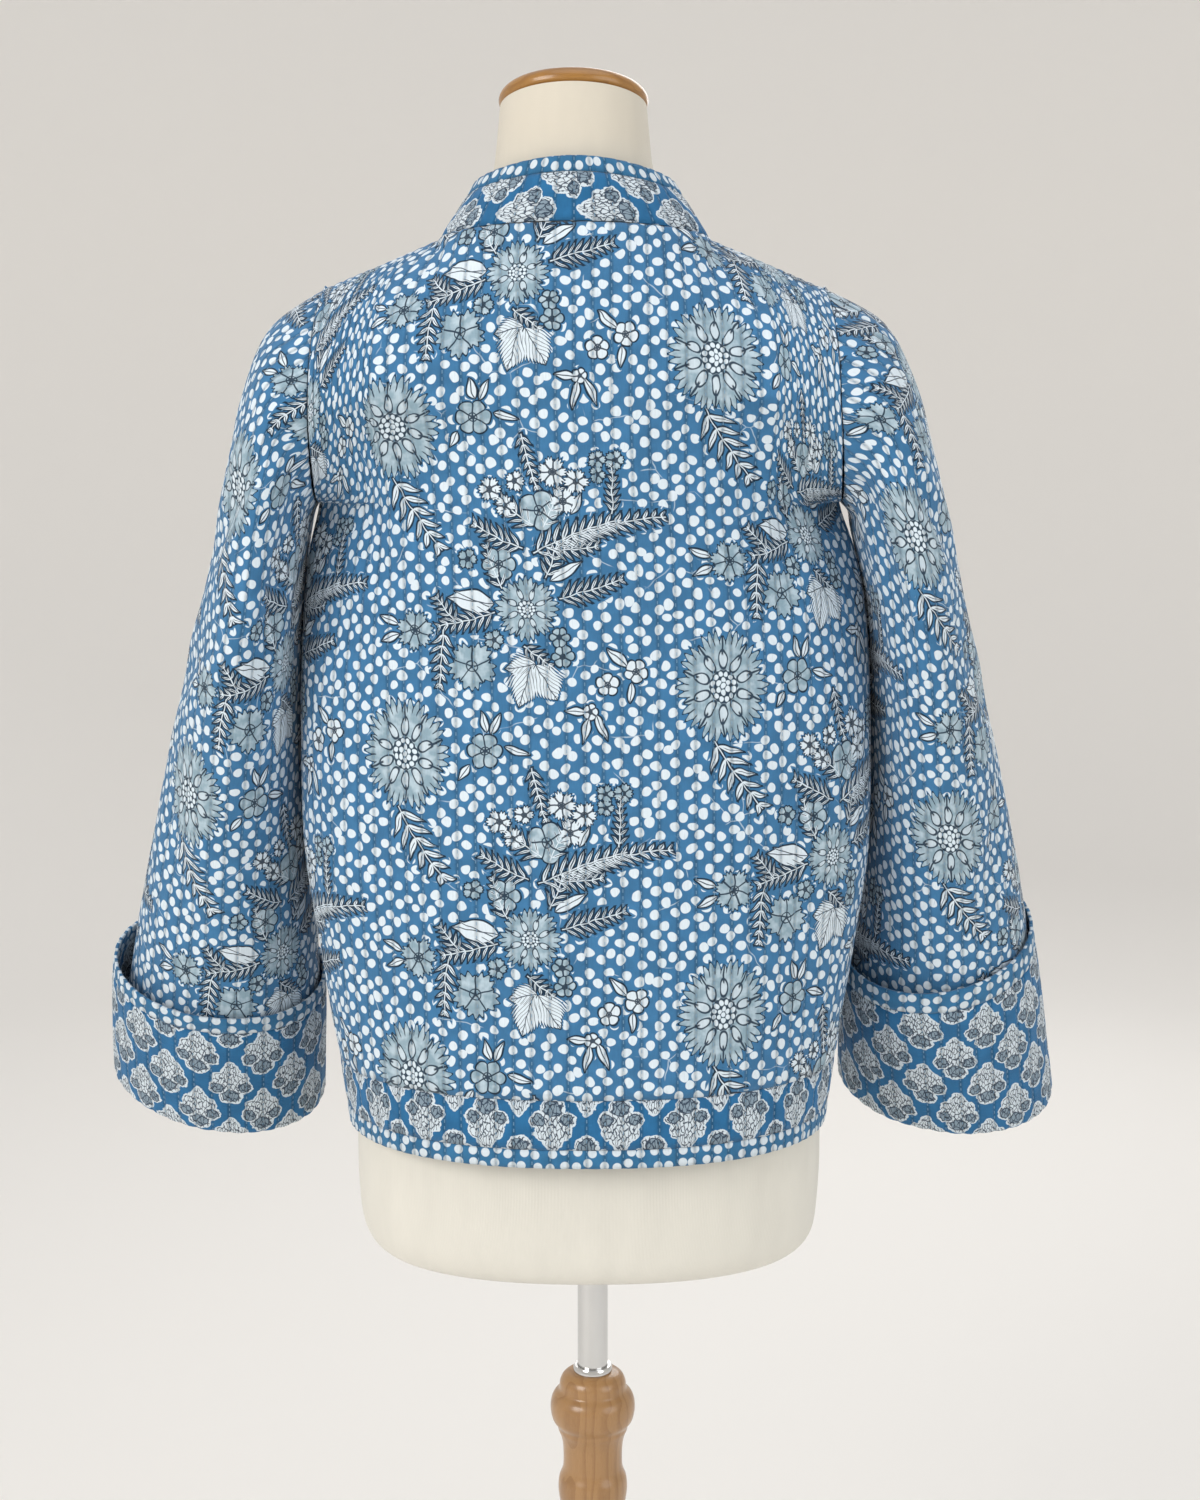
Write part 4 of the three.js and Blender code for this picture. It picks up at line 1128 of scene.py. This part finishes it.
def makeSprigPrint():
    tree, given, end = newGroup("sprigPrint", [("Point", "Vector")], [("Colour", "Color"), ("Ink", "Float")])
    wobble = tree.nodes.new("ShaderNodeTexNoise")
    feed(tree, (wobble.inputs["Vector"], wobble.inputs["Scale"], wobble.inputs["Detail"]),
         (given["Point"], 0.2, 2.0))
    drift = shift(tree, "MULTIPLY", shift(tree, "SUBTRACT", wobble.outputs["Color"], (0.5, 0.5, 0.5)),
                  (5, 5, 0))
    x, y = split(tree, shift(tree, "ADD", given["Point"], drift))
    across, down = sprigSet["pitch"]
    # two lattices, the second half a pitch over and up; a diamond round each sprig says which is near
    first = (calc(tree, "WRAP", x, across / 2, -across / 2), calc(tree, "WRAP", y, down / 2, -down / 2))
    second = (calc(tree, "WRAP", calc(tree, "ADD", x, across / 2), across / 2, -across / 2),
              calc(tree, "WRAP", calc(tree, "ADD", y, down / 2), down / 2, -down / 2))
    reach = calc(tree, "ADD", calc(tree, "DIVIDE", calc(tree, "ABSOLUTE", first[0]), across / 2),
                 calc(tree, "DIVIDE", calc(tree, "ABSOLUTE", first[1]), down / 2))
    far = calc(tree, "GREATER_THAN", reach, 1.0)
    x, y = (calc(tree, "MULTIPLY_ADD", far, calc(tree, "SUBTRACT", b, a), a) for a, b in zip(first, second))

    def oval(centre, radii):
        wide = calc(tree, "DIVIDE", calc(tree, "SUBTRACT", x, centre[0]), radii[0])
        tall = calc(tree, "DIVIDE", calc(tree, "SUBTRACT", y, centre[1]), radii[1])
        far = calc(tree, "SQRT", calc(tree, "MULTIPLY_ADD", wide, wide, calc(tree, "MULTIPLY", tall, tall)))
        return calc(tree, "MULTIPLY", calc(tree, "SUBTRACT", 1.0, far), min(radii))
    bush = most(tree, [oval(*shape) for shape in sprigSet["bush"]])
    roses = most(tree, [oval(*shape) for shape in sprigSet["roses"]])
    etch = tree.nodes.new("ShaderNodeTexVoronoi")
    etch.voronoi_dimensions = "2D"
    etch.feature = "DISTANCE_TO_EDGE"
    fan = join(tree, calc(tree, "DIVIDE", x, calc(tree, "MULTIPLY_ADD", y, 0.012, 0.9)),
               calc(tree, "MULTIPLY", y, 0.5))
    feed(tree, (etch.inputs["Vector"], etch.inputs["Scale"]), (fan, 0.36))
    lines = fade(tree, etch.outputs["Distance"], 0.05, 0.16)
    rim = fade(tree, calc(tree, "ABSOLUTE", roses), 0.25, 0.6)
    mottle = smooth(tree, noiseOn(tree, given["Point"], 0.05, 3.0), 0.3, 0.75)
    ground = blendColour(tree, mottle, sprigSet["blue"], tuple(c * 1.3 for c in sprigSet["blue"]))
    inked = blendColour(tree, smooth(tree, bush, -1.2, -0.8), ground, sprigSet["white"])
    inked = blendColour(tree, smooth(tree, roses, -0.2, 0.2), inked, sprigSet["grey"])
    inside = smooth(tree, bush, -0.1, 0.3)
    dark = calc(tree, "MULTIPLY", inside, calc(tree, "MULTIPLY", calc(tree, "MAXIMUM", lines, rim), 0.95))
    inked = blendColour(tree, dark, inked, sprigSet["deepBlue"])
    feed(tree, end.inputs, (inked, inside))
    return tree


dottedSet = {"blue": (0.03, 0.14, 0.28), "white": (0.66, 0.74, 0.80), "pitch": 10.0, "dot": 3.4}


def makeDottedPrint():
    tree, given, end = newGroup("dottedPrint", [("Point", "Vector")], [("Colour", "Color"), ("Ink", "Float")])
    dots = tree.nodes.new("ShaderNodeTexVoronoi")
    dots.voronoi_dimensions = "2D"
    feed(tree, (dots.inputs["Vector"], dots.inputs["Scale"], dots.inputs["Randomness"]),
         (given["Point"], 1 / dottedSet["pitch"], 0.45))
    away = calc(tree, "MULTIPLY", dots.outputs["Distance"], dottedSet["pitch"])
    dot = fade(tree, away, dottedSet["dot"] - 0.3, dottedSet["dot"] + 0.3)
    mottle = smooth(tree, noiseOn(tree, given["Point"], 0.05, 3.0), 0.3, 0.75)
    ground = blendColour(tree, mottle, dottedSet["blue"], tuple(c * 1.3 for c in dottedSet["blue"]))
    feed(tree, end.inputs, (blendColour(tree, dot, ground, dottedSet["white"]), dot))
    return tree


stitchSet = {"dash": 5.2, "wide": 0.5, "depth": 0.8, "groove": 2.4, "thread": (0.20, 0.36, 0.52)}


def makeQuilting():
    # running stitches down every quilting line, the weave between them, and painted shade darkening the cloth
    # in the groove along each line
    tree, given, end = newGroup("quilting", [("Point", "Vector"), ("Colour", "Color")],
                                [("Colour", "Color"), ("Height", "Float"), ("Rough", "Float")])
    x, y = split(tree, given["Point"])
    pitch = quilt["pitch"]
    share = calc(tree, "ADD", calc(tree, "DIVIDE", x, pitch), 400.5)
    away = calc(tree, "MULTIPLY",
                calc(tree, "ABSOLUTE", calc(tree, "SUBTRACT", calc(tree, "FRACT", share), 0.5)), pitch)
    line = calc(tree, "FLOOR", share)
    beat = calc(tree, "FRACT",
                calc(tree, "MULTIPLY_ADD", line, 0.37, calc(tree, "DIVIDE", y, stitchSet["dash"])))
    dash = calc(tree, "MULTIPLY", smooth(tree, beat, 0.0, 0.08), fade(tree, beat, 0.5, 0.58))
    thread = calc(tree, "MULTIPLY", dash, fade(
        tree, away, stitchSet["wide"] * 0.7, stitchSet["wide"]))
    groove = fade(tree, away, 0.2, stitchSet["groove"])
    pucker = noiseOn(tree, shift(tree, "MULTIPLY", given["Point"], (0.14, 0.42, 1)), 1.0, 2.0)
    pucker = calc(tree, "MULTIPLY", pucker, fade(tree, away, 1.0, 6.5))
    threads = shift(tree, "MULTIPLY", given["Point"], (fullTurn / 0.62, fullTurn / 0.62, 0))
    wx, wy = split(tree, threads)
    weave = calc(tree, "MULTIPLY", calc(tree, "SINE", wx), calc(tree, "SINE", wy))
    slub = noiseOn(tree, shift(tree, "MULTIPLY", given["Point"], (0.9, 0.12, 1)), 1.0, 2.0)
    height = calc(tree, "MULTIPLY", groove, -stitchSet["depth"])
    height = calc(tree, "MULTIPLY_ADD", thread, 0.28, height)
    height = calc(tree, "MULTIPLY_ADD", pucker, 1.5, height)
    height = calc(tree, "MULTIPLY_ADD", weave, 0.035, height)
    height = calc(tree, "MULTIPLY_ADD", slub, 0.08, height)
    slubToneAndGrooveShade = calc(tree, "MULTIPLY_ADD", slub, 0.24, 0.88)
    # painted shade: the cloth's colour is darkened by up to 30 % in the groove beside each quilting line
    slubToneAndGrooveShade = calc(tree, "MULTIPLY", slubToneAndGrooveShade, calc(tree, "MULTIPLY_ADD", groove, -0.3, 1.0))
    coloured = shift(tree, "SCALE", given["Colour"])
    feed(tree, (coloured.node.inputs["Scale"],), (slubToneAndGrooveShade,))
    coloured = blendColour(tree, calc(tree, "MULTIPLY", thread, 0.6), coloured, stitchSet["thread"])
    feed(tree, end.inputs, (coloured, height, calc(tree, "MULTIPLY_ADD", slub, 0.12, 0.8)))
    return tree


def clothFinish(name, printGroup, moved=(0, 0), turn=0.0):
    finish = bpy.data.materials.new(name)
    finish.use_nodes = True
    tree = finish.node_tree
    shader = tree.nodes["Principled BSDF"]
    layer = tree.nodes.new("ShaderNodeUVMap")
    layer.uv_map = "print"
    flat = shift(tree, "MULTIPLY", layer.outputs[0], (1000, 1000, 0))
    place = tree.nodes.new("ShaderNodeMapping")
    place.inputs["Location"].default_value = (*moved, 0)
    place.inputs["Rotation"].default_value = (0, 0, math.radians(turn))
    tree.links.new(flat, place.inputs["Vector"])
    inked = useGroup(tree, printGroup, place.outputs[0])
    sewn = useGroup(tree, quilting, flat, inked["Colour"])
    bump = tree.nodes.new("ShaderNodeBump")
    bump.inputs["Strength"].default_value = 0.8
    bump.inputs["Distance"].default_value = mm
    feed(tree, (bump.inputs["Height"],), (sewn["Height"],))
    feed(tree, (shader.inputs["Base Color"], shader.inputs["Roughness"], shader.inputs["Normal"]),
         (sewn["Colour"], sewn["Rough"], bump.outputs[0]))
    shader.inputs["Specular IOR Level"].default_value = 0.25
    shader.inputs["Sheen Weight"].default_value = 0.15
    shader.inputs["Sheen Roughness"].default_value = 0.5
    return finish


jerseySet = {"pale": (0.776, 0.753, 0.68), "warm": (0.723, 0.665, 0.558), "rib": 1.3}


def jerseyFinish():
    finish = bpy.data.materials.new("jersey")
    finish.use_nodes = True
    tree = finish.node_tree
    shader = tree.nodes["Principled BSDF"]
    place = tree.nodes.new("ShaderNodeTexCoord").outputs["Object"]
    point = shift(tree, "MULTIPLY", place, (1000, 1000, 1000))
    node = tree.nodes.new("ShaderNodeSeparateXYZ")
    feed(tree, node.inputs, (point,))
    x, y, z = node.outputs
    turn = calc(tree, "ARCTAN2", y, x)
    round_ = calc(tree, "MULTIPLY", turn, 155.0)      # length round an average section
    rib = calc(tree, "SINE", calc(tree, "MULTIPLY", round_, fullTurn / jerseySet["rib"]))
    loop = calc(tree, "SINE", calc(tree, "MULTIPLY_ADD", z, fullTurn / 1.1, calc(tree, "MULTIPLY", rib, 1.2)))
    height = calc(tree, "MULTIPLY_ADD", loop, 0.3, rib)
    neckward = smooth(tree, z, 1380.0, 1490.0)
    mottle = noiseOn(tree, shift(tree, "MULTIPLY", point, (0.05, 0.05, 0.015)), 1.0, 3.0)
    colour = blendColour(tree, neckward, jerseySet["pale"], jerseySet["warm"])
    # colour scaled by the mottle, the jersey's own uneven tone, and by the rib: painted shade, a little
    # lighter on each rib and darker between them
    mottledAndRibShaded = shift(tree, "SCALE", colour)
    feed(tree, (mottledAndRibShaded.node.inputs["Scale"],), (calc(tree, "MULTIPLY_ADD", calc(
        tree, "MULTIPLY_ADD", rib, 0.12, mottle), 0.12, 0.93),))
    bump = tree.nodes.new("ShaderNodeBump")
    bump.inputs["Strength"].default_value = 0.5
    bump.inputs["Distance"].default_value = 0.12 * mm
    feed(tree, (bump.inputs["Height"],), (height,))
    feed(tree, (shader.inputs["Base Color"], shader.inputs["Roughness"], shader.inputs["Normal"]),
         (mottledAndRibShaded, calc(tree, "MULTIPLY_ADD", mottle, 0.15, 0.75), bump.outputs[0]))
    shader.inputs["Specular IOR Level"].default_value = 0.3
    shader.inputs["Sheen Weight"].default_value = 0.2
    return finish


def makeWoodGrain():
    # straight grain running up the piece, with pores
    tree, given, end = newGroup("woodGrain", [("Point", "Vector"), ("Pale", "Color"), ("Dark", "Color"),
                                              ("Rings", "Float")], [("Colour", "Color"), ("Height", "Float"),
                                                                    ("Rough", "Float")])
    long = shift(tree, "MULTIPLY", given["Point"], (1, 1, 0.07))
    bend = noiseOn(tree, long, 0.03, 2.0)
    x, y = split(tree, long)
    ring = calc(tree, "MULTIPLY_ADD", bend, 60.0, calc(tree, "MULTIPLY_ADD", y, 0.35, x))
    ring = calc(tree, "FRACT", calc(tree, "MULTIPLY", ring, given["Rings"]))
    late = smooth(tree, ring, 0.45, 0.95)
    fibre = noiseOn(tree, shift(tree, "MULTIPLY", given["Point"], (1.6, 1.6, 0.03)), 1.0, 3.0)
    pore = noiseOn(tree, shift(tree, "MULTIPLY", given["Point"], (3.0, 3.0, 0.22)), 1.0, 1.0)
    pore = smooth(tree, pore, 0.64, 0.72)
    share = calc(tree, "MULTIPLY_ADD", fibre, 0.6, calc(tree, "MULTIPLY_ADD", late, 0.4, -0.12))
    share = calc(tree, "MULTIPLY_ADD", pore, 0.3, share)
    feed(tree, end.inputs, (blendColour(tree, calc(tree, "MINIMUM", share, 1.0), given["Pale"], given["Dark"]),
                            calc(tree, "MULTIPLY_ADD", pore, -0.5, fibre),
                            calc(tree, "MULTIPLY_ADD", fibre, 0.12, 0.26)))
    return tree


def woodFinish(name, pale, dark, rings, turned=(0, 0, 0)):
    finish = bpy.data.materials.new(name)
    finish.use_nodes = True
    tree = finish.node_tree
    shader = tree.nodes["Principled BSDF"]
    place = tree.nodes.new("ShaderNodeMapping")
    place.inputs["Rotation"].default_value = turned
    place.inputs["Scale"].default_value = (1000, 1000, 1000)
    feed(tree, (place.inputs["Vector"],), (tree.nodes.new("ShaderNodeTexCoord").outputs["Object"],))
    grain = useGroup(tree, woodGrain, place.outputs[0], (*pale, 1), (*dark, 1), rings)
    bump = tree.nodes.new("ShaderNodeBump")
    bump.inputs["Strength"].default_value = 0.25
    bump.inputs["Distance"].default_value = 0.1 * mm
    feed(tree, (bump.inputs["Height"],), (grain["Height"],))
    feed(tree, (shader.inputs["Base Color"], shader.inputs["Roughness"], shader.inputs["Normal"]),
         (grain["Colour"], grain["Rough"], bump.outputs[0]))
    shader.inputs["Coat Weight"].default_value = 0.4
    shader.inputs["Coat Roughness"].default_value = 0.14
    return finish


def chromeFinish():
    finish = bpy.data.materials.new("chrome")
    finish.use_nodes = True
    tree = finish.node_tree
    shader = tree.nodes["Principled BSDF"]
    point = shift(tree, "MULTIPLY", tree.nodes.new("ShaderNodeTexCoord").outputs["Object"], (1000, 1000, 1000))
    smear = noiseOn(tree, shift(tree, "MULTIPLY", point, (0.08, 0.08, 0.02)), 1.0, 3.0)
    drawn = noiseOn(tree, shift(tree, "MULTIPLY", point, (3.0, 3.0, 0.03)), 1.0, 2.0)
    feed(tree, (shader.inputs["Base Color"], shader.inputs["Roughness"]),
         (blendColour(tree, smear, (0.62, 0.62, 0.62), (0.72, 0.72, 0.71)),
          calc(tree, "MULTIPLY_ADD", drawn, 0.08, calc(tree, "MULTIPLY_ADD", smear, 0.08, 0.05))))
    shader.inputs["Metallic"].default_value = 1
    return finish


stageSet = {"radius": 4.6, "bend": 1.6, "height": 4.2, "colour": (0.90, 0.875, 0.835)}


def makeStage():
    # a pale floor that curves up all round
    radius, bend = stageSet["radius"], stageSet["bend"]
    profile = [(0, 0), (radius - bend, 0)]
    profile += [(radius - bend + bend * math.sin(turn), bend - bend * math.cos(turn))
                for turn in steps(0, math.pi / 2, 16)[1:]] + [(radius, stageSet["height"])]
    shape = spun([(r / mm, z / mm) for r, z in profile], 96)
    mesh = bpy.data.meshes.new("studioFloor")
    shape.to_mesh(mesh)
    shape.free()
    mesh.shade_smooth()
    floor = bpy.data.objects.new("studioFloor", mesh)
    scene.collection.objects.link(floor)
    finish = bpy.data.materials.new("studioFloor")
    finish.use_nodes = True
    shader = finish.node_tree.nodes["Principled BSDF"]
    shader.inputs["Base Color"].default_value = (*stageSet["colour"], 1)
    shader.inputs["Roughness"].default_value = 0.9
    mesh.materials.append(finish)


onTile = makeOnTile()
greatFlower = makeGreatFlower()
smallFlower = makeSmallFlower()
leafSpray = makeSpray()
singleLeaf = makeLeaf()
quilting = makeQuilting()
woodGrain = makeWoodGrain()
printedCotton = clothFinish("printedCotton", makeFloralPrint(), printSet["shift"])
sprigPrint = makeSprigPrint()
contrastCotton = clothFinish("contrastCotton", sprigPrint, (0, 10))
collarCotton = clothFinish("collarCotton", sprigPrint, (9, 34), 90)
dottedCotton = clothFinish("dottedCotton", makeDottedPrint())
jersey = jerseyFinish()
honeyWood = woodFinish("honeyWood", (0.40, 0.19, 0.035), (0.21, 0.085, 0.012), 0.11, (0, math.radians(90), 0))
mapleWood = woodFinish("mapleWood", (0.42, 0.235, 0.095), (0.26, 0.125, 0.042), 0.09)
chrome = chromeFinish()
print("finishes made")

makeStage()
makeForm()
makeTurned()
makeLegs()
makeBack()
makeFront("left")
makeFront("right")
makeHem()
makeCollar()
for hand in ("left", "right"):
    makeSleeve(hand)
    makeCuff(hand)
